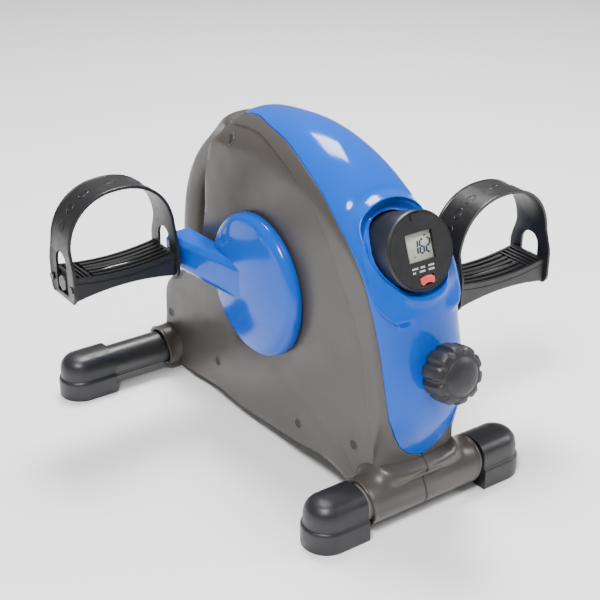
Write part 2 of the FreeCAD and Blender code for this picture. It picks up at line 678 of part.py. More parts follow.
def flywheel_set():
    y, z = size("fly_line"), size("fly_high")
    rim = "dims.fly_rad"
    half = "dims.fly_wide / 2"
    axle = "dims.fly_axle_dia / 2"
    body = turned("flywheel", [
        (axle, "-" + half), (axle + " + 9", "-" + half), (axle + " + 12", "-4"),
        (rim + " - 14", "-4"), (rim + " - 11", "-" + half), (rim, "-" + half), (rim, half),
        (rim + " - 11", half), (rim + " - 14", "4"), (axle + " + 12", "4"),
        (axle + " + 9", half), (axle, half)])
    body.Placement = FreeCAD.Placement(V(0, y, z), FreeCAD.Rotation(Z_AXIS, X_AXIS))
    keep(body, "flywheel")
    keep(cylinder("flywheel_axle", axle, "62", (-46, y, z)), "flywheel_axle")
    start = size("plate_place") - size("fly_bearing_wide") - 2
    for i, name in enumerate(("left_flywheel_bearing", "right_flywheel_bearing")):
        bearing(name, "dims.fly_bearing_dia / 2", axle + " + dims.bearing_play",
                "dims.fly_bearing_wide",
                (start + i * size("fly_bearing_wide"), y, z))
    pulley("flywheel_pulley", "fly_pulley_rad", axle, "fly_line", "fly_high", False)
    nuts = []
    for i, x in enumerate((-45, size("fly_wide") / 2)):
        nut = hexagon("fly_nut_hex_%d" % i, "19", "5", (x, y, z))
        nuts.append(cut("fly_nut_%d" % i, nut,
                        cylinder("fly_nut_bore_%d" % i, axle, "5", (x, y, z))))
    keep(group("flywheel_nuts", nuts), "flywheel_nuts")


def speed_sensor():
    x = size("plate_place") - size("plate_thick") / 2
    y, z = size("crank_line"), size("crank_high")
    keep(box("speed_sensor", "8", "12", "18", (x - 8, y - 6, z - 50)), "speed_sensor")
    face = size("belt_place") + size("pulley_wide") / 2
    keep(cylinder("sensor_magnet", "3", "1", (face, y + 40, z)), "sensor_magnet")


# ---------------------------------------------------------------- knob and brake

def tension_knob():
    """Domed knob with grip flutes around it."""
    inward = slope_line("knob_line", "knob_high", "knob_slope")[1]
    rad, deep = "dims.knob_rad", "dims.knob_long"
    body = turned("tension_knob", [
        ("dims.screw_dia / 2", "0"), (rad + " - 5", "0"), (rad + " - 1", "5"), (rad, "8"),
        (rad, deep + " - 5"), (rad + " - 3", deep + " - 1"), (rad + " - 9", deep),
        (rad + " - 10", deep + " - 0.8"), (rad + " - 11", deep + " + 0.6"),
        (rad + " - 20", deep + " + dims.knob_dome - 1"),
        ("0", deep + " + dims.knob_dome"), ("0", deep + " - 10"),
        ("dims.screw_dia / 2", deep + " - 10")])
    doc.recompute()
    sketch = make_sketch(body, "XY_Plane")
    away = size("knob_rad") + 2.2
    sketch.addGeometry(Part.Circle(V(away, 0, 0), Z_AXIS, 4.2), False)
    sketch.addConstraint(Sketcher.Constraint("PointOnObject", 0, 3, -1))
    wide = sketch.addConstraint(Sketcher.Constraint("Radius", 0, 4.2))
    far = sketch.addConstraint(Sketcher.Constraint("DistanceX", -1, 1, 0, 3, away))
    sketch.setExpression("Constraints[%d]" % far, "dims.knob_rad + 2.2")
    sketch.setExpression("Constraints[%d]" % wide, "dims.knob_rad * 0.15")
    flute = body.newObject("PartDesign::Pocket", "knob_flute")
    flute.Profile = sketch
    flute.Reversed = True
    flute.setExpression("Length", "dims.knob_long - 9")
    doc.recompute()
    ring = body.newObject("PartDesign::PolarPattern", "knob_flutes_ring")
    ring.Originals = [flute]
    ring.Axis = (sketch, ["N_Axis"])
    ring.Angle = 360
    ring.setExpression("Occurrences", "dims.knob_flutes")
    body.Tip = ring
    on_slope(body, knob_spot(-size("knob_start")), inward * -1)
    keep(body, "tension_knob")


def brake_set():
    inward = slope_line("knob_line", "knob_high", "knob_slope")[1]
    tip = size("knob_start") + size("knob_long") - 10
    keep(cylinder("tension_screw", "dims.screw_dia / 2", "%g + dims.screw_in" % tip,
                  knob_spot(-tip), inward), "tension_screw")
    collar = cylinder("knob_bush_collar", "12", "3", knob_spot(-7.6), inward)
    barrel = cylinder("knob_bush_barrel", "8", "dims.guide_start + 5", knob_spot(-5), inward)
    bore = cylinder("knob_bush_bore", "dims.screw_dia / 2 + 0.05", "40", knob_spot(-15), inward)
    keep(cut("knob_bush", join("knob_bush_solid", [collar, barrel]), bore), "knob_bush")

    half, long = size("carriage_half"), size("carriage_long")
    block = box("carriage_block", "2 * dims.carriage_half", "2 * dims.carriage_half",
                "dims.carriage_long", (0, 0, 0))
    up = X_AXIS.cross(inward) * -1
    start = knob_spot(size("carriage_start"))
    on_slope(block, start - X_AXIS * half - up * half, inward)
    thread = cylinder("carriage_thread", "dims.screw_dia / 2 + 0.05", "30",
                      start - inward * 5, inward)
    keep(cut("tension_carriage", block, thread), "tension_carriage")

    spring_start = size("carriage_start") + long
    coil_long, wire, rad = size("spring_long"), size("spring_wire"), size("spring_rad")
    helix = Part.makeHelix((coil_long - wire) / 4, coil_long - wire, rad)
    ring = Part.Wire(Part.makeCircle(wire / 2, V(rad, 0, 0), Y_AXIS))
    coil = Part.Wire(helix.Edges).makePipeShell([ring], True, False)
    spring = feature("brake_spring", coil)
    on_slope(spring, knob_spot(spring_start + wire / 2), inward)
    keep(spring, "brake_spring")

    shoe_start = spring_start + coil_long
    shoe = box("shoe_block", "2 * dims.carriage_half", "2 * dims.carriage_half",
               "dims.shoe_thick", (0, 0, 0))
    on_slope(shoe, knob_spot(shoe_start) - X_AXIS * half - up * half, inward)
    cup = cylinder("shoe_cup", "dims.spring_rad + 3", "4", knob_spot(shoe_start - 4), inward)
    space = cylinder("shoe_cup_space", "dims.spring_rad + 1.2", "4", knob_spot(shoe_start - 4),
                     inward)
    keep(cut("brake_shoe", join("shoe_solid", [shoe, cup]), space), "brake_shoe")

    pad_start = shoe_start + size("shoe_thick")
    pad = box("pad_block", "2 * dims.carriage_half - 4", "2 * dims.carriage_half", "9",
              (0, 0, 0))
    on_slope(pad, knob_spot(pad_start) - X_AXIS * (half - 2) - up * half, inward)
    face = cylinder("pad_face", "dims.fly_rad + dims.pad_gap", "60",
                    (-30, size("fly_line"), size("fly_high")))
    keep(cut("brake_pad", pad, face), "brake_pad")


# ---------------------------------------------------------------- meter

def meter_block(name, wide, tall, deep, depth, up=0.0, across=0.0):
    """Plate parallel to the meter's face, from depth behind the face inwards by deep."""
    inward = slope_line("meter_line", "meter_high", "meter_slope")[1]
    obj = box(name, wide, tall, deep, (0, 0, 0))
    half_wide = float(sheet.evalExpression(wide)) / 2
    half_tall = float(sheet.evalExpression(tall)) / 2
    corner = meter_spot(depth, up - half_tall, across - half_wide)
    turn = FreeCAD.Rotation(X_AXIS, V(0, -inward.z, inward.y), inward * -1, "ZXY")
    obj.Placement = FreeCAD.Placement(corner + inward * float(sheet.evalExpression(deep)),
                                      turn)
    return obj


def meter_set():
    inward = slope_line("meter_line", "meter_high", "meter_slope")[1]
    rad, deep = "dims.cup_rad", "dims.cup_deep"
    cup = turned("meter_cup", [
        ("0", "0"), (rad + " - 4", "0"), (rad + " - 1", "4"), (rad, deep + " - 2"),
        (rad + " - 1.2", deep), ("dims.bezel_rad + dims.bezel_gap", deep),
        ("dims.bezel_rad + dims.bezel_gap", deep + " - 17"), (rad + " - 5", deep + " - 22"),
        (rad + " - 6.5", "3"), ("0", "3")])
    on_slope(cup, meter_spot(size("cup_deep")), inward * -1)
    keep(cup, "meter_cup")

    ring = cylinder("bezel_disc", "dims.bezel_rad", "16", meter_spot(0), inward)
    space = cylinder("bezel_space", "dims.bezel_rad - 2", "20", meter_spot(3), inward)
    window = meter_block("bezel_window", "dims.window_wide", "dims.window_tall", "10", -2,
                         size("window_up"))
    slot = meter_block("bezel_slot", "dims.button_wide + 0.6", "dims.button_tall + 0.6", "10",
                       -2, -size("button_down"), 1)
    notch = meter_block("bezel_notch", "12", "9", "5", -2, size("bezel_rad") - 2)
    keep(cut_all("meter_bezel", ring, [space, window, slot, notch]), "meter_bezel")
    keep(meter_block("meter_catch", "11.6", "6", "3.8", -0.8, size("bezel_rad") - 3.5),
         "meter_catch")
    keep(meter_block("display_window", "dims.window_wide + 3", "dims.window_tall + 3", "1.4",
                     3, size("window_up")), "display_window")
    keep(meter_block("display_panel", "dims.window_wide + 1", "dims.window_tall + 1", "2",
                     4.4, size("window_up")), "display_panel")
    keep(meter_block("circuit_board", "33", "46", "1.6", 6.4, -5), "circuit_board")
    keep(cylinder("button_cell", "5.8", "4", meter_spot(8, -8), inward), "button_cell")
    cap = meter_block("button_cap", "dims.button_wide", "dims.button_tall",
                      "3.3 + dims.button_out", -size("button_out"), -size("button_down"), 1)
    stem = meter_block("button_stem", "dims.button_wide + 3", "3", "1.7", 3.3,
                       -size("button_down"), 1)
    keep(join("reset_button", [cap, stem]), "reset_button")


# ---------------------------------------------------------------- pedals

def pedal_body(name, side):
    """Long narrow platform, waisted above and below, with ribs along its top."""
    start, end = size("pedal_start"), size("pedal_end")
    wide, top, low = size("pedal_wide"), size("pedal_top"), -size("pedal_bottom")
    mid = (start + end) / 2
    edges = [
        Part.LineSegment(V(start, 0, low), V(start, 0, top)).toShape(),
        Part.LineSegment(V(start, 0, top), V(start + 8, 0, top)).toShape(),
        Part.Arc(V(start + 8, 0, top), V(mid, 0, top - 5), V(end - 8, 0, top)).toShape(),
        Part.LineSegment(V(end - 8, 0, top), V(end, 0, top)).toShape(),
        Part.LineSegment(V(end, 0, top), V(end, 0, low)).toShape(),
        Part.LineSegment(V(end, 0, low), V(end - 8, 0, low)).toShape(),
        Part.Arc(V(end - 8, 0, low), V(mid, 0, low + 5), V(start + 8, 0, low)).toShape(),
        Part.LineSegment(V(start + 8, 0, low), V(start, 0, low)).toShape()]
    block = Part.Face(Part.Wire(edges)).extrude(V(0, wide, 0))
    block.translate(V(0, -wide / 2, 0))
    long_edges = [e for e in block.Edges if abs(abs(e.CenterOfMass.y) - wide / 2) < 0.01
                  and e.BoundBox.XLength > 1 and abs(e.BoundBox.YLength) < 0.01]
    block = block.makeFillet(2.5, long_edges)
    ribs, groove = int(size("pedal_ribs")), size("rib_groove")
    pitch = (wide - 8) / ribs
    for i in range(ribs - 1):
        y = -wide / 2 + 4 + pitch * (i + 1) - groove / 2
        block = block.cut(Part.makeBox(end - start - 34, groove, 12, V(start + 6, y, top - 8)))
    for i in range(4):
        x = end - 24 + i * 5
        block = block.cut(Part.makeBox(2.4, wide - 14, 3, V(x, -wide / 2 + 7, top - 2)))
    bore = Part.makeCylinder(size("spindle_dia") / 2 + 0.6, 200, V(start - 20, 0, 0), X_AXIS)
    seat = size("bush_dia") / 2
    for x in (start, end - size("bush_long")):
        bore = bore.fuse(Part.makeCylinder(seat, size("bush_long"), V(x, 0, 0), X_AXIS))
    under = Part.makeBox(end - start - 30, wide - 8, 10, V(start + 15, -wide / 2 + 4, low - 1))
    solid = block.cut(bore).cut(under)
    place_pedal(name + "_pedal_body", solid, side)


def place_pedal(name, solid, side):
    """Mirror a pedal piece made on the +X side when needed and set it on its crank."""
    if side < 0:
        solid = solid.mirror(V(0, 0, 0), X_AXIS)
    keep(feature(name, solid, V(0, pedal_line(side), size("crank_high"))), name)


def pedal_strap(name, side):
    """Arched foot strap moulded in one piece with a plate at each end of the pedal."""
    thick = size("strap_thick")
    rise, straight = size("strap_rise"), size("strap_straight")
    low = -size("pedal_bottom") - 1.5
    faces = []
    for inset in (0, thick):
        a, b = size("strap_start") + inset, size("strap_end") - inset
        top = rise - inset
        mid = (a + b) / 2
        quarter = (b - a) / 2
        spots = [V(a, 0, straight), V(a + quarter * 0.12, 0, straight + (top - straight) * 0.5),
                 V(a + quarter * 0.46, 0, straight + (top - straight) * 0.87),
                 V(mid, 0, top), V(b - quarter * 0.46, 0, straight + (top - straight) * 0.87),
                 V(b - quarter * 0.12, 0, straight + (top - straight) * 0.5),
                 V(b, 0, straight)]
        arch = Part.BSplineCurve()
        arch.interpolate(Points=spots, InitialTangent=Z_AXIS, FinalTangent=Z_AXIS * -1)
        edges = [arch.toShape(), Part.LineSegment(V(b, 0, straight), V(b, 0, low)).toShape(),
                 Part.LineSegment(V(b, 0, low), V(a, 0, low)).toShape(),
                 Part.LineSegment(V(a, 0, low), V(a, 0, straight)).toShape()]
        face = Part.Face(Part.Wire(edges)).extrude(V(0, 80, 0))
        face.translate(V(0, -40, 0))
        faces.append(face)
    arch = faces[0].cut(faces[1])
    wide, narrow = size("strap_end_half"), size("strap_half")
    half_view = [(wide - 5, low), (wide - 1, low + 4), (wide, 4), (wide, 20), (narrow, 42),
                 (narrow, rise + 5)]
    spots = half_view + [(-y, z) for y, z in reversed(half_view)]
    view = Part.makePolygon([V(0, y, z) for y, z in spots + spots[:1]])
    arch = arch.common(Part.Face(view).extrude(V(300, 0, 0)))
    window = Part.makeBox(300, 24, 34, V(0, -12, -12))
    window = window.fuse(Part.makeCylinder(12, 300, V(0, 0, 22), X_AXIS))
    arch = arch.cut(window)
    for y in (-size("stud_place"), size("stud_place")):
        for z in (0, 20):
            arch = arch.cut(rod_along_x(size("stud_pin_dia") / 2 + 0.2, y, z, 0, 300))
    place_pedal(name + "_pedal_strap", arch, side)


def pedal_small_parts(name, side):
    y, z = pedal_line(side), size("crank_high")
    out = X_AXIS * side
    start = size("arm_place")
    rod = cylinder(name + "_spindle_rod", "dims.spindle_dia / 2",
                   "dims.pedal_end - 5 - dims.arm_place", (side * start, y, z), out)
    collar = hexagon(name + "_spindle_hex", "dims.spindle_flats", "8",
                     (side * (size("arm_boss_out") + 0.5), y, z), out)
    keep(join(name + "_pedal_spindle", [rod, collar]), name + "_pedal_spindle")
    bushes = []
    first, last = size("pedal_start"), size("pedal_end") - size("bush_long")
    for i, x in enumerate((first, last)):
        ring = cylinder("%s_bush_ring_%d" % (name, i), "dims.bush_dia / 2", "dims.bush_long",
                        (side * x, y, z), out)
        hole = cylinder("%s_bush_hole_%d" % (name, i), "dims.spindle_dia / 2 + 0.05",
                        "dims.bush_long", (side * x, y, z), out)
        bushes.append(cut("%s_bush_%d" % (name, i), ring, hole))
    keep(group(name + "_pedal_bushes", bushes), name + "_pedal_bushes")
    nut = hexagon(name + "_pedal_nut_hex", "dims.pedal_nut_flats", "3",
                  (side * (size("pedal_end") + 0.3), y, z), out)
    neck = cylinder(name + "_pedal_nut_neck", "dims.spindle_dia / 2 - 1", "8",
                    (side * (size("pedal_end") - 5), y, z), out)
    keep(join(name + "_pedal_nut", [nut, neck]), name + "_pedal_nut")
    studs = []
    for i, (x, away) in enumerate(((size("pedal_start"), -1), (size("pedal_end"), 1))):
        for j, spot in enumerate((-size("stud_place"), size("stud_place"))):
            tag = "%s_stud_%d_%d" % (name, i, j)
            facing = out * away
            pin = cylinder(tag + "_pin", "dims.stud_pin_dia / 2", "5", (side * x, y + spot, z),
                           facing)
            face = side * (x + away * 3.7)
            head = cylinder(tag + "_head", "dims.stud_head_dia / 2", "1.4",
                            (face, y + spot, z), facing)
            studs.append(join(tag, [pin, head]))
    keep(group(name + "_strap_studs", studs), name + "_strap_studs")


# ---------------------------------------------------------------- whole object

def build():
    fill_sheet()
    housing_half("left_shell", -1)
    housing_half("right_shell", 1)
    spine_cover()
    shell_screws()
    stabilizers()
    for tag, line, start in (("front", "front_line", "foot_front_start"),
                             ("rear", "rear_line", "foot_rear_start")):
        for name, side in SIDES.items():
            foot("%s_%s_foot" % (tag, name), side, line, start)
    stabilizer_bolts()
    main_frame()
    crank_set()
    pulley("drive_pulley", "drive_pulley_rad", "dims.axle_dia / 2", "crank_line", "crank_high",
           True)
    drive_belt()
    flywheel_set()
    speed_sensor()
    tension_knob()
    brake_set()
    meter_set()
    for name, side in SIDES.items():
        pedal_body(name, side)
        pedal_strap(name, side)
        pedal_small_parts(name, side)
    doc.recompute()


def export():
    for obj in doc.Objects:
        if "Invalid" in obj.State or "Error" in obj.State:
            raise RuntimeError("%s failed: %s" % (obj.Name, obj.State))
    names = [obj.Label for obj in nodes]
    if len(set(names)) != len(names):
        raise RuntimeError("two sub-parts share a name")
    for obj in nodes:
        if obj.Shape.isNull() or not obj.Shape.isValid():
            raise RuntimeError("%s has no valid shape" % obj.Label)
    os.makedirs("parts", exist_ok=True)
    for obj in nodes:
        obj.Shape.exportStep("parts/%s.step" % obj.Label)
        print("%-24s %9.1f mm3" % (obj.Label, obj.Shape.Volume))
    print(len(nodes), "parts")


build()
export()
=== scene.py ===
"""Pedal exerciser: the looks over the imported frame. Metres, +Z up, front towards -Y."""
import json
import math

import bmesh
import bpy
import numpy as np
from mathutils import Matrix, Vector
from mathutils.bvhtree import BVHTree


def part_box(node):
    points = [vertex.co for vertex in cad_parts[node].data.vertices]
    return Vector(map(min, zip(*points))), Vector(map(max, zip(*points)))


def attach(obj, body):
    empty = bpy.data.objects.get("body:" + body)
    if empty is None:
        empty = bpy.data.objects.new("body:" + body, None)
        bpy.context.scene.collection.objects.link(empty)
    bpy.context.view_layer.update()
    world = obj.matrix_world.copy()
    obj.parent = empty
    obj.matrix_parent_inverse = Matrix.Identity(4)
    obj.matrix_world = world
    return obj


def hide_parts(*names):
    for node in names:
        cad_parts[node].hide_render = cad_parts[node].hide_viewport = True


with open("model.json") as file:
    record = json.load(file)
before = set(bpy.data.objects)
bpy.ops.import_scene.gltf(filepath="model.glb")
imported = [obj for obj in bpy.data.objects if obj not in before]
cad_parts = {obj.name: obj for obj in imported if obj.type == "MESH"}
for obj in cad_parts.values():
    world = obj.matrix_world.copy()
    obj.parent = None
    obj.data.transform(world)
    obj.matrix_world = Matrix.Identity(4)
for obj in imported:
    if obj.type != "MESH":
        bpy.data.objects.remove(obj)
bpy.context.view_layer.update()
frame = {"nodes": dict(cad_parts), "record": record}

MM = 0.001
NODES = frame["nodes"]
HALF = 50 * MM              # half the width of the housing
GAP = 0.9 * MM              # between the shells and the spine cover
METER_HOLE = 38.3 * MM      # radius of the cover's hole for the meter
METER_TILT, KNOB_TILT = 19.7, 12.2      # degrees that their axes lean up from level
COVER_TIP = 63              # height of the spine cover's lower tip, in millimetres
PANEL_STEP = 2.4 * MM       # how far the side panel lies below the band around it
COLLAR = 24                 # radius of the collars over the tubes, in millimetres
FLARE_FROM = 61             # distance from the mid plane at which a collar starts to flare


def middle(node):
    low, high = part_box(node)
    return (low + high) / 2


def leaning(degrees):
    """Direction towards the front that leans up from level by an angle."""
    return Vector((0, -math.cos(math.radians(degrees)), math.sin(math.radians(degrees))))


AXLE = middle("crank_axle")
FRONT_TUBE = middle("front_stabilizer")
REAR_TUBE = middle("rear_stabilizer")

# Side outline of the housing in millimetres: along Y, height, drop of the shoulder.
HOUSING_OUTLINE = (
    (98, 336, 34), (50, 348.5, 43), (0, 350.5, 46), (-45, 343, 45), (-86, 326.5, 40),
    (-122, 303, 34), (-156, 275, 30), (-180, 240, 29), (-191, 196, 28), (-200, 151, 27),
    (-200, 108, 26), (-188, 76, 20), (-184, 54, 12), (-194, 30, 3), (-184, 12, 3),
    (-156, 14, 3), (-120, 21, 4), (-45, 19, 4), (89, 10, 4), (154, 8, 4), (206, 7, 4),
    (234, 28, 5), (232, 66, 10), (233, 96, 14), (222, 117, 14), (188, 131, 9),
    (158, 156, 7), (139, 198, 6), (133, 236, 6), (129, 276, 7), (120, 308, 10),
)
COVER_EDGE = (
    (104, 345), (92, 338.5), (74, 341), (32, 342), (-10, 336.5), (-39, 326.5), (-79, 307),
    (-107, 287), (-135, 264), (-153, 241), (-170, 198), (-179, 165), (-185, 135),
    (-187, 112), (-184, 92), (-184, 80), (-190, 73), (-206, 66),
)
HANDLE_LINE = (
    (90, 322), (135, 295), (179, 263), (204, 227), (216, 188), (220, 150), (221, 95),
)
# Step around the side panel: its upper and front edge, then the soft crease below it.
PANEL_EDGE = (
    (128, 322), (77, 331), (38, 334), (-4, 325), (-42, 310), (-76, 288), (-116, 234),
    (-147, 185), (-161, 116), (-172, 60), (-166, 20),
)
PANEL_CREASE = ((260, 112), (183, 105), (66, 102.5), (21, 95), (-52, 73), (-137, 41), (-200, 16))
SCREW_RECESSES = ((77, 317), (211, 69), (108, 49), (-48, 46), (-139, 67))


# ---------------------------------------------------------------- curves and meshes

def spline(points, count, closed=False):
    """Even samples and tangents of a cubic spline through the points, in metres."""
    pts = np.array(points, float) * MM
    n = len(pts)
    legs = np.linalg.norm((np.roll(pts, -1, 0) - pts)[:, :2], axis=1)
    if not closed:
        legs = legs[:-1]
    matrix = np.zeros((n, n))
    right = np.zeros(pts.shape)
    for i in range(n):
        if not closed and i in (0, n - 1):
            matrix[i, i] = 1
            continue
        before, after = (i - 1) % n, (i + 1) % n
        matrix[i, before] += legs[before]
        matrix[i, i] += 2 * (legs[before] + legs[i])
        matrix[i, after] += legs[i]
        right[i] = 6 * ((pts[after] - pts[i]) / legs[i] - (pts[i] - pts[before]) / legs[before])
    bend = np.linalg.solve(matrix, right)
    ends = np.concatenate([[0], np.cumsum(legs)])
    spots, tangents = [], []
    for s in np.linspace(0, ends[-1], count, endpoint=not closed):
        i = min(int(np.searchsorted(ends, s, "right")) - 1, len(legs) - 1)
        j, leg, t = (i + 1) % n, legs[i], s - ends[i]
        a, b = pts[i] / leg - bend[i] * leg / 6, pts[j] / leg - bend[j] * leg / 6
        spots.append(bend[i] * (leg - t) ** 3 / (6 * leg) + bend[j] * t ** 3 / (6 * leg)
                     + a * (leg - t) + b * t)
        tangents.append(-bend[i] * (leg - t) ** 2 / (2 * leg) + bend[j] * t ** 2 / (2 * leg)
                        - a + b)
    tangents = np.array(tangents)[:, :2]
    return np.array(spots), tangents / np.linalg.norm(tangents, axis=1)[:, None]


def side_of(line, spots):
    """Signed distance of (y, z) spots from a line; positive on the left of its travel."""
    spots = np.atleast_2d(spots)
    start, leg = line[:-1], line[1:] - line[:-1]
    rel = spots[:, None, :] - start[None]
    t = np.clip((rel * leg).sum(2) / (leg * leg).sum(1), 0, 1)
    off = rel - t[..., None] * leg
    dist = np.linalg.norm(off, axis=2)
    k = dist.argmin(1)
    row = np.arange(len(spots))
    cross = leg[k, 0] * rel[row, k, 1] - leg[k, 1] * rel[row, k, 0]
    return np.where(cross >= 0, 1, -1) * dist[row, k]


def smooth_step(x, low, high):
    t = np.clip((np.asarray(x, float) - low) / (high - low), 0, 1)
    return t * t * (3 - 2 * t)


def mesh_piece(name, verts, faces, body, node_slot, material, sharp=40):
    mesh = bpy.data.meshes.new(name)
    mesh.from_pydata([tuple(v) for v in verts], [], faces)
    mesh.validate()
    piece = bpy.data.objects.new(name, mesh)
    bpy.context.scene.collection.objects.link(piece)
    tidy_normals(piece, sharp)
    mesh.materials.append(material)
    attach(piece, body)
    return piece


def tidy_normals(piece, sharp=40):
    work = bmesh.new()
    work.from_mesh(piece.data)
    bmesh.ops.remove_doubles(work, verts=work.verts, dist=1e-6)
    bmesh.ops.dissolve_degenerate(work, dist=1e-7, edges=work.edges)
    bmesh.ops.recalc_face_normals(work, faces=work.faces)
    for face in work.faces:
        face.smooth = True
    limit = math.radians(sharp)
    for edge in work.edges:
        if len(edge.link_faces) == 2 and edge.calc_face_angle(0) > limit:
            edge.smooth = False
    work.to_mesh(piece.data)
    work.free()


def grid_faces(rows, columns, first=0, close_rows=False, close_columns=False):
    faces = []
    for i in range(rows if close_rows else rows - 1):
        for j in range(columns if close_columns else columns - 1):
            a, b = i * columns + j, i * columns + (j + 1) % columns
            c = ((i + 1) % rows) * columns + (j + 1) % columns
            d = ((i + 1) % rows) * columns + j
            faces.append((first + a, first + b, first + c, first + d))
    return faces


def apply_modifiers(piece):
    bpy.context.view_layer.update()
    graph = bpy.context.evaluated_depsgraph_get()
    mesh = bpy.data.meshes.new_from_object(piece.evaluated_get(graph))
    piece.modifiers.clear()
    piece.data = mesh


def cut_with(piece, cutters):
    """Take the cutters' volumes out of a piece, then throw the cutters away."""
    for cutter in cutters:
        change = piece.modifiers.new("cut", "BOOLEAN")
        change.operation = "DIFFERENCE"
        change.solver = "EXACT"
        change.object = cutter
    apply_modifiers(piece)
    for cutter in cutters:
        bpy.data.objects.remove(cutter)


def loose_mesh(name, verts, faces):
    mesh = bpy.data.meshes.new(name)
    mesh.from_pydata([tuple(v) for v in verts], [], faces)
    work = bmesh.new()
    work.from_mesh(mesh)
    bmesh.ops.recalc_face_normals(work, faces=work.faces)
    work.to_mesh(mesh)
    work.free()
    piece = bpy.data.objects.new(name, mesh)
    bpy.context.scene.collection.objects.link(piece)
    return piece


def turned_rings(profile, centre, axis, count, wave=None):
    """Verts and faces of a profile of (radius, height) turned about an axis."""
    axis = Vector(axis).normalized()
    level = Vector((1, 0, 0)) if abs(axis.x) < 0.9 else Vector((0, 1, 0))
    across = (level - axis * level.dot(axis)).normalized()
    other = axis.cross(across)
    verts = []
    for k, (radius, height) in enumerate(profile):
        for i in range(count):
            angle = 2 * math.pi * i / count
            r = radius + (wave(k, angle) if wave else 0)
            verts.append(Vector(centre) + axis * height
                         + (across * math.cos(angle) + other * math.sin(angle)) * r)
    return verts, grid_faces(len(profile), count, close_columns=True)


def rounded(corners, radius, steps=5):
    """Polyline through (a, b) corners with each inner corner rounded off."""
    pts = [Vector(c) for c in corners]
    out = [pts[0]]
    for before, here, after in zip(pts, pts[1:], pts[2:]):
        r = min(radius, (here - before).length * 0.45, (after - here).length * 0.45)
        a = here + (before - here).normalized() * r
        b = here + (after - here).normalized() * r
        for k in range(steps + 1):
            t = k / steps
            out.append(a * (1 - t) ** 2 + here * 2 * t * (1 - t) + b * t * t)
    out.append(pts[-1])
    return [tuple(p) for p in out]


# ---------------------------------------------------------------- materials

def finish(name, colour, rough, spread=0.05, tone=0.06, tone_scale=9.0, grain=900.0,
           depth=0.02, metal=0.0, coat=0.0, streaks=None, speckle=0.0, shine=0.5):
    """Procedural surface: slow colour change, uneven gloss and a fine moulded grain."""
    material = bpy.data.materials.new(name)
    material.use_nodes = True
    tree = material.node_tree
    nodes, links = tree.nodes, tree.links
    shader = nodes["Principled BSDF"]
    shader.inputs["Metallic"].default_value = metal
    shader.inputs["Coat Weight"].default_value = coat
    shader.inputs["Specular IOR Level"].default_value = shine
    shader.inputs["Coat Roughness"].default_value = 0.04
    place = nodes.new("ShaderNodeTexCoord")
    source = place.outputs["Object"]
    if streaks:
        stretch = nodes.new("ShaderNodeMapping")
        stretch.inputs["Scale"].default_value = streaks
        links.new(source, stretch.inputs["Vector"])
        source = stretch.outputs["Vector"]

    def noise(scale, detail):
        node = nodes.new("ShaderNodeTexNoise")
        node.inputs["Scale"].default_value = scale
        node.inputs["Detail"].default_value = detail
        links.new(source, node.inputs["Vector"])
        return node.outputs["Fac"]

    def remap(value, low, high):
        node = nodes.new("ShaderNodeMapRange")
        node.inputs["From Min"].default_value = 0.3
        node.inputs["From Max"].default_value = 0.7
        node.inputs["To Min"].default_value = low
        node.inputs["To Max"].default_value = high
        links.new(value, node.inputs["Value"])
        return node.outputs["Result"]

    slow = noise(tone_scale, 4.0)
    fine = noise(grain, 2.0)
    mix = nodes.new("ShaderNodeMix")
    mix.data_type = "RGBA"
    mix.inputs["A"].default_value = (*[c * (1 - tone) for c in colour], 1)
    mix.inputs["B"].default_value = (*[min(c * (1 + tone) + 0.002, 1) for c in colour], 1)
    links.new(remap(slow, 0, 1), mix.inputs["Factor"])
    base = mix.outputs["Result"]
    # Speckle mixes lighter flecks into the colour: painted sparkle, small glints painted into the
    # surface.
    if speckle:
        painted_sparkle = nodes.new("ShaderNodeMix")
        painted_sparkle.data_type = "RGBA"
        painted_sparkle.inputs["B"].default_value = (*[min(c * 1.8 + 0.03, 1) for c in colour], 1)
        links.new(base, painted_sparkle.inputs["A"])
        links.new(remap(fine, 0, speckle), painted_sparkle.inputs["Factor"])
        base = painted_sparkle.outputs["Result"]
    links.new(base, shader.inputs["Base Color"])
    links.new(remap(noise(tone_scale * 5, 3.0), rough - spread, rough + spread),
              shader.inputs["Roughness"])
    if depth:
        bump = nodes.new("ShaderNodeBump")
        bump.inputs["Strength"].default_value = 0.5
        bump.inputs["Distance"].default_value = depth * MM
        links.new(fine, bump.inputs["Height"])
        links.new(bump.outputs["Normal"], shader.inputs["Normal"])
    return material


def glass_finish():
    material = finish("clear_window", (0.02, 0.022, 0.021), 0.06, 0.02, 0.02, depth=0.0)
    shader = material.node_tree.nodes["Principled BSDF"]
    shader.inputs["Alpha"].default_value = 0.05
    shader.inputs["IOR"].default_value = 1.49
    return material


# The shell's speckle is painted sparkle: lighter flecks that stand in for small glints.
SHELL = finish("shell_plastic", (0.050, 0.0435, 0.039), 0.36, 0.05, 0.05, 7, 1500, 0.03,
               speckle=0.2, shine=0.45)
BLUE = finish("blue_plastic", (0.0, 0.080, 0.50), 0.13, 0.03, 0.04, 6, 500, 0.004,
              shine=0.3)
BLACK = finish("black_plastic", (0.008, 0.008, 0.009), 0.44, 0.05, 0.12, 20, 1600, 0.04)
KNOB = finish("knob_plastic", (0.010, 0.010, 0.012), 0.5, 0.05, 0.1, 25, 1800, 0.05)
FOOT = finish("foot_plastic", (0.012, 0.012, 0.014), 0.42, 0.06, 0.14, 22, 1400, 0.06)
STRAP = finish("strap_rubber", (0.008, 0.008, 0.009), 0.38, 0.06, 0.12, 30, 1200, 0.03)
GREY = finish("grey_paint", (0.40, 0.39, 0.38), 0.30, 0.04, 0.05, 14, 1800, 0.015, metal=0.55)
DARK = finish("black_paint", (0.022, 0.022, 0.023), 0.36, 0.05, 0.1, 14, 1500, 0.03, coat=0.1)
BRIGHT = finish("bright_steel", (0.72, 0.72, 0.73), 0.16, 0.06, 0.05, 60, 900, 0.008, metal=1)
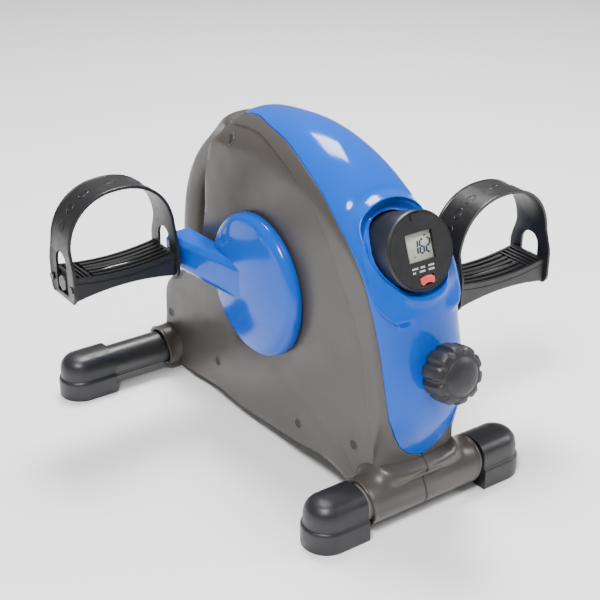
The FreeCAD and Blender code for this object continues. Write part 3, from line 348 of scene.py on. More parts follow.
STEEL = finish("steel", (0.50, 0.50, 0.51), 0.34, 0.08, 0.08, 60, 700, 0.01, metal=1,
               streaks=(1, 6, 6))
CAST = finish("cast_flywheel", (0.23, 0.23, 0.24), 0.42, 0.1, 0.15, 40, 600, 0.05, metal=1)
BELT = finish("belt_rubber", (0.015, 0.015, 0.015), 0.7, 0.08, 0.2, 50, 900, 0.08)
FELT = finish("felt", (0.32, 0.30, 0.27), 0.9, 0.05, 0.2, 120, 2500, 0.3)
GLASS = glass_finish()
DISPLAY = finish("display_face", (0.50, 0.535, 0.44), 0.35, 0.05, 0.03, 30, 500, 0.002)
BOARD = finish("green_board", (0.02, 0.16, 0.07), 0.4, 0.1, 0.2, 200, 500, 0.02)
RED = finish("red_button", (0.68, 0.075, 0.065), 0.32, 0.06, 0.06, 90, 1500, 0.02)
PULLEY = finish("pulley_plastic", (0.05, 0.05, 0.055), 0.45, 0.05, 0.1, 30, 1200, 0.03)
INK = finish("display_ink", (0.012, 0.03, 0.045), 0.35, 0.05, 0.1, 60, 500, 0.0)
PRINT = finish("light_print", (0.62, 0.62, 0.60), 0.45, 0.05, 0.05, 90, 500, 0.0)
VOID = finish("recess_shadow", (0.012, 0.011, 0.010), 0.6, 0.05, 0.1, 60, 900, 0.02)

SLOT_FINISH = {
    "shell_plastic": SHELL, "blue_plastic": BLUE, "black_plastic": BLACK,
    "strap_rubber": STRAP, "grey_paint": GREY, "black_paint": DARK, "bright_steel": BRIGHT,
    "cast_flywheel": CAST, "belt_rubber": BELT, "felt": FELT, "clear_window": GLASS,
    "display_face": DISPLAY, "green_board": BOARD, "red_button": RED,
    "pulley_plastic": PULLEY, "steel": STEEL,
}


def dress_cad_nodes():
    """Give every carried-over CAD node the finish of its own material slot."""
    for entry in frame["record"]["subparts"]:
        node = NODES[entry["node"]]
        node.data.materials.clear()
        node.data.materials.append(SLOT_FINISH[entry["material_slot"]])


# ---------------------------------------------------------------- housing surface

ROUND = 680
LOOP, LOOP_TANGENT = spline(HOUSING_OUTLINE, ROUND, closed=True)
NORMAL = np.stack([LOOP_TANGENT[:, 1], -LOOP_TANGENT[:, 0]], 1)
HEART = np.array([AXLE.y, AXLE.z])
COVER_LINE = spline(COVER_EDGE, 260)[0]
PANEL_LINE = spline(PANEL_EDGE, 200)[0]
CREASE_LINE = spline(PANEL_CREASE, 120)[0]


def pillow(i, angle):
    """Point of the rounded shoulder at outline sample i, angle 0 at the crown."""
    fall = LOOP[i, 2] * (1 - np.cos(angle))
    flat = LOOP[i, :2] - NORMAL[i] * np.atleast_1d(fall)[:, None]
    return np.column_stack([HALF * np.sin(angle), flat])


def cover_angle(i):
    """Shoulder angle at which the spine cover ends at outline sample i, 0 if it has none."""
    y, z = LOOP[i, :2] / MM
    if y < -150 and z < COVER_TIP + 49:
        reach = np.interp(z - COVER_TIP, (0, 1.5, 5.5, 10, 17, 30, 42, 49),
                          (0, 8, 16, 22.5, 29.5, 37.5, 42, 43.5))
        return math.asin(reach * MM / HALF)
    angles = np.radians(np.linspace(0, 90, 181))
    inside = side_of(COVER_LINE, pillow(i, angles)[:, 1:]) < 0
    if not inside[0]:
        return 0.0
    out = np.argmin(inside) if not inside.all() else len(angles) - 1
    return float(angles[out])


COVER_ANGLE = np.array([cover_angle(i) for i in range(ROUND)])


def panel_depth(spots):
    """How far the side panel lies below the band around it, at (y, z) spots."""
    inside = side_of(PANEL_LINE, spots)
    above = -side_of(CREASE_LINE, spots)
    step = smooth_step(inside, -0.3 * MM, 1.5 * MM) * (0.3 + 0.7 * np.exp(-inside / 0.035))
    soft = smooth_step(above, -5 * MM, 5 * MM)
    return PANEL_STEP * np.maximum(step * soft, 0.0)


def half_shell(side):
    """Outer skin of one half of the housing, from the seam or cover edge to its side."""
    shoulder = np.linspace(0, 1, 70)
    flat = np.linspace(0, 1, 90)[1:]
    rows = []
    for i in range(ROUND):
        start = COVER_ANGLE[i]
        covered = start > 0
        if covered:
            start += GAP / HALF
        top = pillow(i, start + (math.pi / 2 - start) * shoulder)
        rim = top[-1, 1:]
        cap = np.column_stack([np.full(len(flat), HALF),
                               rim + (HEART - rim) * flat[:, None]])
        line = np.vstack([top, cap])
        length = np.concatenate([[0], np.cumsum(np.linalg.norm(np.diff(line, axis=0), axis=1))])
        panel = side_of(PANEL_LINE, line[:, 1:])
        cross = np.argmax(panel > 0) if (panel > 0).any() else len(line) // 3
        at = length[cross]
        if cross and panel[cross] > 0 > panel[cross - 1]:
            at -= (at - length[cross - 1]) * panel[cross] / (panel[cross] - panel[cross - 1])
        at = min(max(at, 8 * MM), length[-1] - 12 * MM)
        # Close stations at the cover edge and where the panel's step crosses the line.
        stations = np.concatenate([
            [0, 0.5 * MM, 1.2 * MM], np.linspace(2.4 * MM, at - 2 * MM, 22),
            np.linspace(at - 1 * MM, at + 2.2 * MM, 11), np.linspace(at + 4 * MM, length[-1], 28)])
        spots = np.column_stack([np.interp(stations, length, line[:, k]) for k in range(3)])
        depth = panel_depth(spots[:, 1:])
        spots[:, 0] -= depth
        inward = np.array([0, *(-NORMAL[i])])
        if covered:
            spots[0] += inward * 0.5 * MM
            spots[1] += inward * 0.12 * MM
        lip = spots[0] + inward * 5 * MM
        if not covered:
            spots[0, 0] = 0.1 * MM
            lip = spots[0] + inward * 3 * MM
        rows.append(np.vstack([[lip], spots]))
    grid = np.array(rows)
    grid[..., 0] *= side
    count = grid.shape[1]
    return list(grid.reshape(-1, 3)), grid_faces(ROUND, count, close_rows=True)


def sleeve(side, tube, end, flare, toward, first):
    """Collar over a stabilizer tube, flared up and along Y (toward is its sign) at the housing."""
    stations = [0, 20, 34, 40, 44, 46, 48, 50, 52, 55, 58, 61, end - 3.2, end - 2.2, end - 0.9,
                end, end + 0.3, end - 0.3, end - 1.4, end - 6]
    radii = [COLLAR] * 13 + [24.35, 24.6, 24.1, 22.9, 21.2, 20.2, 19.8]
    count = 72
    verts = []
    for x, radius in zip(stations, radii):
        for k in range(count):
            angle = 2 * math.pi * k / count
            up, back = math.sin(angle), math.cos(angle) * toward
            inward = max(0.0, up * 0.75 + back * 0.66) ** 1.3
            reach = max(0.0, (FLARE_FROM - x) / 13)
            grow = flare * inward * reach ** 2.2
            slant = math.sin(angle) * 2.6 if x > end - 8 else 0
            r = (radius + min(grow, 9)) * MM
            verts.append((side * (x + slant) * MM, tube.y + r * math.cos(angle),
                          tube.z + r * math.sin(angle)))
    return verts, grid_faces(len(stations), count, first, close_columns=True)


def handle_bar():
    """Carrying bar, flared where it runs into the crown and into the rear of the housing."""
    path, tangent = spline(HANDLE_LINE, 70)
    normal = np.stack([-tangent[:, 1], tangent[:, 0]], 1)
    count = 48
    verts = []
    for k, (spot, out) in enumerate(zip(path, normal)):
        t = k / (len(path) - 1)
        top = max(0.0, 1 - t / 0.24) ** 1.5
        low = max(0.0, (t - 0.78) / 0.22) ** 1.5
        wide = (20 + 18 * top + 8 * low) * MM
        thick = (17 - 2 * low) * MM
        sink = 9 * (1 - float(smooth_step(t, 0, 0.09)))
        swell = 7 * math.exp(-((t - 0.15) / 0.11) ** 2)
        spot = spot + out * (swell - sink) * MM
        for j in range(count):
            angle = 2 * math.pi * j / count
            x = wide * math.copysign(abs(math.cos(angle)) ** 0.85, math.cos(angle))
            lift = thick * math.copysign(abs(math.sin(angle)) ** 0.9, math.sin(angle))
            verts.append((x, *(spot + out * lift)))
    faces = grid_faces(len(path), count, close_columns=True)
    return verts, faces + [tuple(range(count)),
                           tuple(range(len(verts) - 1, len(verts) - count - 1, -1))]


def housing():
    skins = []
    for name, side in (("left", -1), ("right", 1)):
        verts, faces = half_shell(side)
        piece = mesh_piece(name + "_housing", verts, faces, "frame", "shell_plastic", SHELL, 38)
        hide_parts(name + "_shell")
        verts, faces = sleeve(side, FRONT_TUBE, 67, 12, 1, 0)
        more, extra = sleeve(side, REAR_TUBE, 65, 5, -1, len(verts))
        collar = mesh_piece(name + "_collars", verts + more, faces + extra, "frame",
                            "shell_plastic", SHELL, 45)
        skins += [piece, collar]
        recess_rings(name, side)
    verts, faces = handle_bar()
    mesh_piece("handle_bar", verts, faces, "frame", "shell_plastic", SHELL, 50)
    front_seam(skins)


def front_seam(pieces):
    """Winding joint between the two halves below the spine cover, wider towards its foot."""
    trees = [BVHTree.FromPolygons([v.co for v in piece.data.vertices],
                                  [tuple(p.vertices) for p in piece.data.polygons])
             for piece in pieces]
    verts, count = [], 46
    for k in range(count):
        t = k / (count - 1)
        z = (COVER_TIP - 58.5 * t) * MM
        x = float(np.interp(t, (0, 0.12, 0.25, 0.4, 0.6, 0.8, 1), (2, 0, -4, -5.5, -4, -1.5, 0)))
        x *= MM
        hits = [tree.ray_cast(Vector((x, -0.4, z)), Vector((0, 1, 0)))[0] for tree in trees]
        y = min([hit.y for hit in hits if hit] or [FRONT_TUBE.y])
        half = (0.6 + 0.9 * t * t) * MM
        for side, back in ((-1, 1.0), (-1, -0.35), (1, -0.35), (1, 1.0)):
            verts.append((x + side * half, y + back * MM, z))
    last = 4 * (count - 1)
    faces = grid_faces(count, 4) + [(0, 1, 2, 3), (last + 3, last + 2, last + 1, last)]
    mesh_piece("front_seam", verts, faces, "frame", "black_plastic", VOID, 60)


def recess_spot(y, z):
    """Distance of the surface from the mid plane at (y, z), and its outward normal there."""
    away = np.linalg.norm(LOOP[:, :2] - (y, z), axis=1)
    i = int(away.argmin())
    bend = math.acos(max(0.0, 1 - min(away[i] / LOOP[i, 2], 1)))
    x = HALF * math.sin(bend) - float(panel_depth(np.array([[y, z]]))[0])
    out = NORMAL[i] * HALF * math.cos(bend)
    normal = Vector((LOOP[i, 2] * math.sin(bend), out[0], out[1])).normalized()
    return x, normal


def recess_rings(name, side):
    """Rolled lip and dark well of each screw recess, the well a flat disc of painted shade; a bore
    along X, so long on a slope.
    """
    rings = {"lips": ([], []), "wells": ([], [])}
    lip = ((6.4, -0.5), (5.9, 0.15), (5.3, 0.35), (4.8, 0.2), (4.6, -0.3))
    # The well is a dark disc just above the surface: painted shade for the depth of the recess.
    well = ((4.8, 0.14), (4.4, 0.10), (1.5, 0.09), (0.01, 0.09))
    for y, z in SCREW_RECESSES:
        x, normal = recess_spot(y * MM, z * MM)
        normal.x *= side
        centre = Vector((side * x, y * MM, z * MM))
        slope = Vector((side, 0, 0)) - normal * (side * normal.x)
        lean = slope.normalized() if slope.length > 0.05 else Vector((0, 0, 1))
        longer = min(1 / abs(normal.x), 1.8) - 1
        for kind, profile in (("lips", lip), ("wells", well)):
            verts, faces = rings[kind]
            ring, quads = turned_rings([(r * MM, h * MM) for r, h in profile], centre, normal, 40)
            ring = [v + lean * (v - centre).dot(lean) * longer for v in ring]
            faces += [tuple(i + len(verts) for i in quad) for quad in quads]
            verts += ring
    for kind, look in (("lips", SHELL), ("wells", VOID)):
        mesh_piece("%s_recess_%s" % (name, kind), *rings[kind], "frame",
                   "shell_plastic" if kind == "lips" else "black_plastic", look, 60)


# ---------------------------------------------------------------- spine cover

METER_OUT = leaning(METER_TILT)
METER_FACE = Vector((0, -169.8 * MM, 270.3 * MM))       # middle of the bezel's front
METER_UP = Vector((0, METER_OUT.z, -METER_OUT.y))


def spine_cover():
    """Blue skin over the spine, with a scalloped well around the meter."""
    rows = [i for i in range(ROUND) if COVER_ANGLE[i] > 0]
    jump = next((k for k in range(1, len(rows)) if rows[k] != rows[k - 1] + 1), 0)
    rows = rows[jump:] + rows[:jump]
    across = np.linspace(-1, 1, 161)
    grid = []
    for i in rows:
        spots = pillow(i, np.abs(across) * COVER_ANGLE[i])
        spots[:, 0] *= np.sign(across)
        inward = np.array([0, *(-NORMAL[i])])
        ends = []
        for end in (0, -1):
            ends.append(spots[end] + inward * 4 * MM)
            spots[end] += inward * 0.6 * MM
        grid.append(np.vstack([[ends[0]], spots, [ends[1]]]))
    grid = finer_rows(np.array(grid))
    shape_well(grid)
    verts = list(grid.reshape(-1, 3))
    kept = []
    for face in grid_faces(len(grid), grid.shape[1]):
        centre = sum((Vector(verts[i]) for i in face), Vector()) / 4
        behind = (centre - METER_FACE).dot(METER_OUT) < -90 * MM
        if behind or well_radius(centre) > METER_HOLE:
            kept.append(face)
    piece = mesh_piece("spine_cover", verts, kept, "frame", "blue_plastic", BLUE, 50)
    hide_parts("front_cover")


def well_radius(spot):
    """Distance of a spot from the meter's axis."""
    rel = Vector(spot) - METER_FACE
    return (rel - METER_OUT * rel.dot(METER_OUT)).length


def finer_rows(grid):
    """Three rows for each row of the cover that passes near the meter."""
    out = []
    for here, after in zip(grid, grid[1:]):
        out.append(here)
        if well_radius(here[grid.shape[1] // 2]) < 75 * MM:
            out += [here + (after - here) / 3, here + (after - here) * 2 / 3]
    return np.array(out + [grid[-1]])


def shape_well(grid):
    """Sink the cover around the meter, with a rolled brow above and a cheek on each side."""
    down, over = np.gradient(grid, axis=0), np.gradient(grid, axis=1)
    normal = np.cross(down, over).reshape(-1, 3)
    normal /= np.maximum(np.linalg.norm(normal, axis=1), 1e-12)[:, None]
    axis = np.array(METER_OUT)
    normal *= np.where(normal @ axis + 3 * normal[:, 0] * grid.reshape(-1, 3)[:, 0] < 0,
                       -1, 1)[:, None]
    flat = grid.reshape(-1, 3)
    rel = flat - np.array(METER_FACE)
    along = rel @ axis
    up = rel @ np.array(METER_UP)
    radial = np.hypot(rel[:, 0], up)
    turn = np.degrees(np.arctan2(up, np.abs(rel[:, 0])))
    above = smooth_step(turn, 12, 50)
    below = smooth_step(-turn, 40, 70)
    lip_at = (42.5 + 7.5 * above + 3 * below) * MM
    sink = (1 - smooth_step(radial, 38.4 * MM, lip_at)) * (4 + 9 * above + 4 * below) * MM
    width = np.where(radial < lip_at, 1.2 * MM, 3.6 * MM)
    lip = np.exp(-((radial - lip_at) / width) ** 2) * (3.4 * above + 1.8 * below) * MM
    hollow = np.exp(-((radial - lip_at - 8 * MM) / (4 * MM)) ** 2) * 1.0 * MM * above
    edge = -side_of(COVER_LINE, flat[:, 1:])
    margin = (4.5 + 14 * smooth_step(up, 0, 36 * MM) + 9 * smooth_step(-up, 36 * MM, 66 * MM)) * MM
    cheek = smooth_step(edge - margin, -0.4 * MM, 1.0 * MM)
    cheek *= smooth_step(38 * MM - up, 0, 6 * MM) * smooth_step(66 * MM + up, 0, 10 * MM)
    cheek *= smooth_step(np.abs(rel[:, 0]), 16 * MM, 30 * MM)
    near = np.where(along > -0.075, 1, 0)
    flat += axis * (near * (lip - hollow - sink))[:, None]
    cheek *= 0.15 + 0.85 * np.exp(-((edge - margin) / (7 * MM)) ** 2)
    flat += normal * (near * cheek * 4.5 * MM)[:, None]
    grid[:] = flat.reshape(grid.shape)


# ---------------------------------------------------------------- crank covers

def crank_cover(name, side, aft):
    """Domed disc with a wedge-shaped box along the crank arm."""
    start = HALF + 1 * MM
    disc = [(1, 0), (74.6, 0), (75.5, 1), (75.5, 5), (74.9, 8), (73.2, 10.6), (70.4, 12.3),
            (67, 13.2), (62, 14.0), (52, 15.4), (40, 16.9), (28, 18), (14, 18.8), (0.1, 19)]
    profile = [(r * MM, h * MM) for r, h in disc]
    verts, faces = turned_rings(profile, (side * start, AXLE.y, AXLE.z), (side, 0, 0), 144)
    piece = mesh_piece(name + "_crank_disc", verts, faces, "crank", "blue_plastic", BLUE, 50)
    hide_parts(name + "_crank_cover")
    verts = []
    # Along the arm, outer face, half height at the edge, half height of the flat face.
    for u, outer, half, face in ((-6, 66.5, 20, 14), (18, 71.4, 20.6, 14.4),
                                 (52, 75.8, 20.2, 13.6), (70, 78.4, 19.6, 13),
                                 (104, 83, 18.4, 12), (135, 84, 17.6, 11.4)):
        for x, z in ((54, -half), (outer - 4.5, -half), (outer, -face), (outer, face),
                     (outer - 4.5, half), (54, half)):
            verts.append((side * x * MM, AXLE.y + aft * u * MM, AXLE.z + z * MM))
    faces = grid_faces(6, 6, close_columns=True)
    faces += [(5, 4, 3, 2, 1, 0), tuple(range(30, 36))]
    arm = mesh_piece(name + "_crank_box", verts, faces, "crank", "blue_plastic", BLUE, 60)
    soften(arm, 1.8 * MM, 4, 25)


def soften(piece, width, segments, angle):
    """Round the edges that turn by more than an angle in degrees."""
    change = piece.modifiers.new("soft_edges", "BEVEL")
    change.width = width
    change.segments = segments
    change.limit_method = "ANGLE"
    change.angle_limit = math.radians(angle)
    change.harden_normals = False
    apply_modifiers(piece)
    for face in piece.data.polygons:
        face.use_smooth = True


# ---------------------------------------------------------------- feet

def foot_cap(node, side, tube):
    """End cap with a half-round end, a step around its base and a domed top."""
    low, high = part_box(node)
    start = low.x if side > 0 else high.x
    straight = 33 * MM
    section = rounded([(0, 0), (24.2, 0), (25, 1.2), (25, 20.4), (24.2, 22.2), (22.6, 23.6),
                       (22.5, 34), (20.6, 41), (15.6, 46.4), (8, 49.3), (0, 50)], 3, 4)
    turn = 24
    verts = []
    for a, h in section:
        a, h = a * MM, h * MM
        ring = [(start, tube.y - a, h)]
        for k in range(turn + 1):
            angle = -math.pi / 2 + math.pi * k / turn
            ring.append((start + side * (straight + a * math.cos(angle)),
                         tube.y + a * math.sin(angle), h))
        ring.append((start, tube.y + a, h))
        verts += ring
    columns = turn + 3
    faces = grid_faces(len(section), columns, close_columns=True)
    piece = mesh_piece(node + "_cap", verts, faces, "frame", "black_plastic", FOOT, 32)
    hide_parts(node)


# ---------------------------------------------------------------- knob

def knob():
    out = leaning(KNOB_TILT)
    root = Vector((0, -194.8 * MM, 161.5 * MM))
    base = root + out * 8 * MM
    profile = rounded([(4, 0), (20, 0), (23.5, 2), (26.5, 6), (28, 11), (28, 25), (26, 29.6),
                       (21, 31.4), (18.6, 31.4), (17.8, 32.2), (14, 34.6), (8, 36.1), (0.05, 36.4)],
                      3, 4)
    profile = [(r * MM, h * MM) for r, h in profile]

    def flutes(k, angle):
        radius, height = profile[k]
        if radius < 19.5 * MM:
            return 0
        depth = smooth_step(radius, 19.5 * MM, 25 * MM)
        dip = max(0.0, math.cos(10 * angle) - 0.15) / 0.85
        return -3.0 * MM * float(depth) * dip ** 0.8

    verts, faces = turned_rings(profile, base, out, 240, flutes)
    piece = mesh_piece("grip_knob", verts, faces, "knob", "black_plastic", KNOB, 40)
    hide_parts("tension_knob")


# ---------------------------------------------------------------- meter

def on_face(across, up, out):
    return METER_FACE + Vector((across, 0, 0)) + METER_UP * up + METER_OUT * out


def bar_on_face(wide, tall, across, up, out, thick, lean=0.0):
    """Corners of a thin bar lying on the meter's face."""
    verts = []
    for level in (out, out + thick):
        for a, b in ((-1, -1), (1, -1), (1, 1), (-1, 1)):
            shift = b * tall / 2 * lean
            verts.append(on_face(across + a * wide / 2 + shift, up + b * tall / 2, level))
    return verts, [(3, 2, 1, 0), (4, 5, 6, 7), (0, 1, 5, 4), (1, 2, 6, 5), (2, 3, 7, 6),
                   (3, 0, 4, 7)]


def gather(parts):
    verts, faces = [], []
    for more, extra in parts:
        faces += [tuple(i + len(verts) for i in face) for face in extra]
        verts += more
    return verts, faces


SEGMENTS = {"1": "bc", "2": "abged", "6": "afgedc"}
DISPLAY_LEVEL = -4.39 * MM      # front of the display, measured from the meter's face


def digit(letter, across, up, wide, tall, level):
    """One seven-segment digit made of short bars."""
    half, line = tall / 2, wide * 0.42
    places = {"a": (0, half, 1), "g": (0, 0, 1), "d": (0, -half, 1), "f": (-1, half / 2, 0),
              "b": (1, half / 2, 0), "e": (-1, -half / 2, 0), "c": (1, -half / 2, 0)}
    bars = []
    for key in SEGMENTS[letter]:
        x, y, flat = places[key]
        size = (wide - line * 1.1, line) if flat else (line, half - line * 0.5)
        lean = 0.10
        bars.append(bar_on_face(size[0], size[1], across + x * wide / 2 + y * lean, up + y,
                                level, 0.12 * MM, 0 if flat else lean))
    return bars


def display_digits():
    """Three seven-segment figures and the small signs around them."""
    bars = []
    for k, letter in enumerate("162"):
        bars += digit(letter, (-2.4 + k * 7.2) * MM, 3.2 * MM, 4.4 * MM, 12.4 * MM,
                      DISPLAY_LEVEL)
    for wide, tall, across, up in ((1.6, 0.7, -12, -6.5), (2.4, 0.7, -5, -5.0),
                                   (2.6, 1.2, 9.5, 12.5)):
        bars.append(bar_on_face(wide * MM, tall * MM, across * MM, up * MM, DISPLAY_LEVEL,
                                0.1 * MM))
    verts, faces = gather(bars)
    mesh_piece("display_digits", verts, faces, "meter", "display_face", INK)


def red_key():
    """Kidney-shaped button, hollowed along its lower edge."""
    outline = [(8 * math.cos(a), 0.9 + 3.2 * math.sin(a)) for a in
               np.linspace(math.pi * 0.92, math.pi * 0.08, 15)]
    outline += [(8, -0.2), (7.6, -3), (6.3, -4)]
    outline += [(x, -3.8 + 1.3 * (1 - (x / 5) ** 2)) for x in np.linspace(5, -5, 9)]
    outline += [(-6.3, -4), (-7.6, -3), (-8, -0.2)]
    verts = []
    for level, less in ((-3, 0), (0.6, 0), (1.1, 0.25), (1.35, 0.8)):
        for x, y in outline:
            shrink = 1 - less / 4.5
            verts.append(on_face((1 + x * shrink) * MM, (-27 + y * shrink) * MM, level * MM))
    count = len(outline)
    faces = grid_faces(4, count, close_columns=True)
    faces += [tuple(range(count)), tuple(range(len(verts) - 1, len(verts) - count - 1, -1))]
    key = mesh_piece("red_key", verts, faces, "button", "red_button", RED, 35)
    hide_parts("reset_button")


def face_marks():
    """Two rows of small bars under the display, in place of words."""
    marks = []
    for row, words in ((-14.6, (7, 6.5, 8)), (-18.2, (5, 8, 8))):
        left = -13.2
        for word in words:
            for k in range(int(word / 1.75)):
                marks.append(bar_on_face(1.2 * MM, 1.7 * MM, (left + k * 1.75) * MM, row * MM,
                                         0.01 * MM, 0.06 * MM))
            left += word + 2.6
    verts, faces = gather(marks)
    mesh_piece("face_marks", verts, faces, "meter", "black_plastic", PRINT)


# ---------------------------------------------------------------- pedals

def pedal_frame(side):
    """Centre line of a pedal's spindle, from its CAD body."""
    return middle(("left" if side < 0 else "right") + "_pedal_spindle")


STRAP_FOOT = -16        # height of the strap's lower ends beside the spindle, in millimetres


def strap_path():
    """Loop of the strap in its own plane: distance outwards and height, both in metres."""
    start, end, straight, rise = 92.5, 215.5, 36, 97
    centre, half = (start + end) / 2, (end - start) / 2
    path = [(start, STRAP_FOOT + k * (straight - STRAP_FOOT) / 12) for k in range(12)]
    for k in range(65):
        angle = math.pi * (1 - k / 64)
        flat = math.copysign(abs(math.cos(angle)) ** 0.92, math.cos(angle))
        path.append((centre + half * flat, straight + (rise - straight) * math.sin(angle) ** 0.9))
    path += [(end, straight - (k + 1) * (straight - STRAP_FOOT) / 12) for k in range(12)]
    return [(x * MM, z * MM) for x, z in path]


def strap_half_width(z):
    low = STRAP_FOOT * MM
    if z < 42 * MM:
        taper = smooth_step(z, 16 * MM, 46 * MM)
        corner = smooth_step(z, low - 1 * MM, low + 7 * MM)
        return (23 + 5 * float(corner) - 7 * float(taper)) * MM
    return 21 * MM


def foot_strap(name, side):
    """Arched strap with raised edges, moulded in one with its two end plates."""
    path = strap_path()
    spindle = pedal_frame(side)
    profile = [(-1.0, 0.0), (-1.0, 0.6), (-0.97, 0.9), (-0.9, 0.9), (-0.86, 0.35), (0, 0.2),
               (0.86, 0.35), (0.9, 0.9), (0.97, 0.9), (1.0, 0.6), (1.0, 0.0), (1.0, -2.2),
               (0.97, -2.5), (0, -2.5), (-0.97, -2.5), (-1.0, -2.2)]
    verts = []
    for k, (x, z) in enumerate(path):
        before, after = path[max(k - 1, 0)], path[min(k + 1, len(path) - 1)]
        along = Vector((after[0] - before[0], after[1] - before[1])).normalized()
        out = Vector((-along.y, along.x))
        half = strap_half_width(z)
        for across, lift in profile:
            depth = (lift - 0.9) * MM
            verts.append((side * (x + out.x * depth), spindle.y + across * half,
                          spindle.z + z + out.y * depth))
    columns = len(profile)
    faces = grid_faces(len(path), columns, close_columns=True)
    faces += [tuple(range(columns)), tuple(reversed(range(len(verts) - columns, len(verts))))]
    piece = mesh_piece(name + "_foot_strap", verts, faces, name + "_pedal", "strap_rubber",
                       STRAP, 30)
    arch = [(-12, -11), (12, -11)] + [(12 * math.cos(a), 22 + 13 * math.sin(a))
                                      for a in np.linspace(0, math.pi, 17)]
    cut = [(side * 80 * MM, spindle.y + y * MM, spindle.z + z * MM) for y, z in arch]
    cut += [(side * 230 * MM, spindle.y + y * MM, spindle.z + z * MM) for y, z in arch]
    n = len(arch)
    sides = [(i, (i + 1) % n, n + (i + 1) % n, n + i) for i in range(n)]
    cutter = loose_mesh("cutter", cut, sides + [tuple(range(n)), tuple(range(2 * n - 1, n - 1, -1))])
    cut_with(piece, [cutter])
    tidy_normals(piece, 35)
    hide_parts(name + "_pedal_strap")
    strap_ovals(name, side, path, spindle)


def strap_ovals(name, side, path, spindle):
    """Raised oval outlines moulded along the top of the strap."""
    parts = []
    for k in (20, 27, 34, 44, 54, 61, 68):
        x, z = path[k]
        before, after = path[k - 1], path[k + 1]
        along = Vector((after[0] - before[0], after[1] - before[1])).normalized()
        out = Vector((-along.y, along.x))
        verts, count = [], 28
        for i in range(count):
            angle = 2 * math.pi * i / count
            for size, lift in ((1.0, 0.2), (0.93, 0.55), (0.84, 0.55), (0.78, 0.2)):
                run = 6.5 * size * math.cos(angle) * MM
                wide = 4.2 * size * math.sin(angle) * MM
                sag = -(run ** 2) / (2 * 70 * MM)
                level = (lift - 0.75) * MM + sag
                verts.append((side * (x + along.x * run + out.x * level), spindle.y + wide,
                              spindle.z + z + along.y * run + out.y * level))
        parts.append((verts, grid_faces(count, 4, close_rows=True)))
    verts, faces = gather(parts)
    mesh_piece(name + "_strap_ovals", verts, faces, name + "_pedal", "strap_rubber", STRAP, 50)


def curved_bar(side, x0, x1, y0, y1, top, low, spindle, steps=24):
    """Bar along X whose top and bottom follow the heights given by two functions."""
    verts = []
    for k in range(steps + 1):
        x = x0 + (x1 - x0) * k / steps
        for y, z in ((y0, low(x)), (y1, low(x)), (y1, top(x)), (y0, top(x))):
            verts.append((side * x * MM, spindle.y + y * MM, spindle.z + z * MM))
    last = 4 * steps
    faces = grid_faces(steps + 1, 4, close_columns=True)
    return verts, faces + [(3, 2, 1, 0), (last, last + 1, last + 2, last + 3)]


def pedal_platform(name, side):
    """Ribbed platform, dished along its top and arched underneath."""
    spindle = pedal_frame(side)
    start, end = 96.0, 212.0
    outer, inner = 23.8, 20.6
    centre, half = (start + end) / 2, (end - start) / 2

    def dish(x):
        return 5.5 * max(0.0, 1 - ((x - centre) / half) ** 2)

    def top(x):
        return 12 - dish(x)

    def low(x):
        return -14.5 + dish(x) * 1.1

    core = mesh_piece(name + "_platform", *curved_bar(
        side, start, end, -outer, outer, lambda x: top(x) - 3.2, low, spindle),
        name + "_pedal", "black_plastic", BLACK, 40)
    soften(core, 2.0 * MM, 3, 40)
    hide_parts(name + "_pedal_body")
    walls = []
    for y0, y1 in ((-outer, -inner), (inner, outer)):
        walls.append(curved_bar(side, start, end, y0, y1, top, lambda x: top(x) - 6, spindle))
    for k in range(5):
        y = -15.6 + k * 7.8
        walls.append(curved_bar(side, start + 2, end - 24, y - 2.1, y + 2.1, top,
                                lambda x: top(x) - 6, spindle))
    for k in range(4):
        x = end - 21 + k * 5.2
        walls.append(curved_bar(side, x, x + 2.4, -inner, inner, lambda x: top(x) - 0.6,
                                lambda x: top(x) - 6, spindle, 1))
    walls.append(curved_bar(side, start, start + 3, -inner, inner, top, lambda x: top(x) - 6,
                            spindle, 1))
    walls.append(curved_bar(side, end - 3, end, -inner, inner, top, lambda x: top(x) - 6,
                            spindle, 1))
    ribs = mesh_piece(name + "_tread_ribs", *gather(walls), name + "_pedal", "black_plastic",
                      BLACK, 40)
    soften(ribs, 0.5 * MM, 2, 60)


# ---------------------------------------------------------------- studio

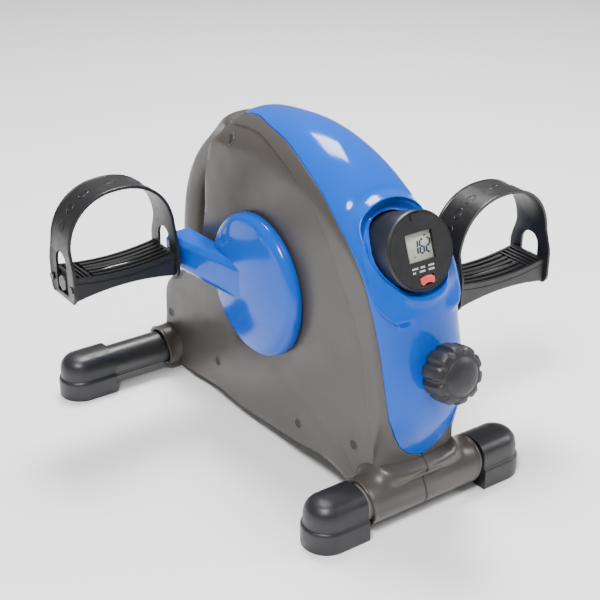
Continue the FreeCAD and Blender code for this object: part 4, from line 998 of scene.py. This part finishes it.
def studio():
    """Plain pale floor, big soft lights and the camera."""
    reach = 30
    corners = [(-reach, -reach, 0), (reach, -reach, 0), (reach, reach, 0), (-reach, reach, 0)]
    floor = loose_mesh("floor", corners, [(0, 1, 2, 3)])
    floor.data.materials.append(finish("floor_paint", (0.97, 0.97, 0.97), 0.7, 0.03, 0.01, 2,
                                       200, 0.0))
    world = bpy.data.worlds.new("studio")
    bpy.context.scene.world = world
    world.use_nodes = True
    world.node_tree.nodes["Background"].inputs["Color"].default_value = (1, 1, 1, 1)
    world.node_tree.nodes["Background"].inputs["Strength"].default_value = 0.36
    for name, place, size, power in (
            ("key_light", (-1.1, -0.9, 2.3), 0.6, 84), ("fill_light", (1.8, -1.0, 1.3), 0.6, 26),
            ("top_light", (0.5, 0.8, 2.4), 0.8, 90)):
        data = bpy.data.lights.new(name, "AREA")
        data.size = size
        data.energy = power
        lamp = bpy.data.objects.new(name, data)
        lamp.location = place
        lamp.rotation_euler = (Vector((0, 0, 0.15)) - Vector(place)).to_track_quat(
            "-Z", "Y").to_euler()
        bpy.context.scene.collection.objects.link(lamp)
    data = bpy.data.cameras.new("camera")
    data.sensor_width = 36
    data.lens = 73.86
    data.clip_end = 50
    camera = bpy.data.objects.new("camera", data)
    turn, rise, away = math.radians(-35.2), math.radians(25.8), 1.2779
    target = Vector((-10.4, 4.6, 155.2)) * MM
    back = Vector((math.sin(turn) * math.cos(rise), -math.cos(turn) * math.cos(rise),
                   math.sin(rise)))
    camera.location = target + back * away
    camera.rotation_euler = (-back).to_track_quat("-Z", "Y").to_euler()
    bpy.context.scene.collection.objects.link(camera)
    bpy.context.scene.camera = camera


dress_cad_nodes()
housing()
spine_cover()
for label, way, aft in (("left", -1, 1), ("right", 1, -1)):
    crank_cover(label, way, aft)
    foot_cap("front_%s_foot" % label, way, FRONT_TUBE)
    foot_cap("rear_%s_foot" % label, way, REAR_TUBE)
    foot_strap(label, way)
    pedal_platform(label, way)
knob()
display_digits()
red_key()
face_marks()
studio()
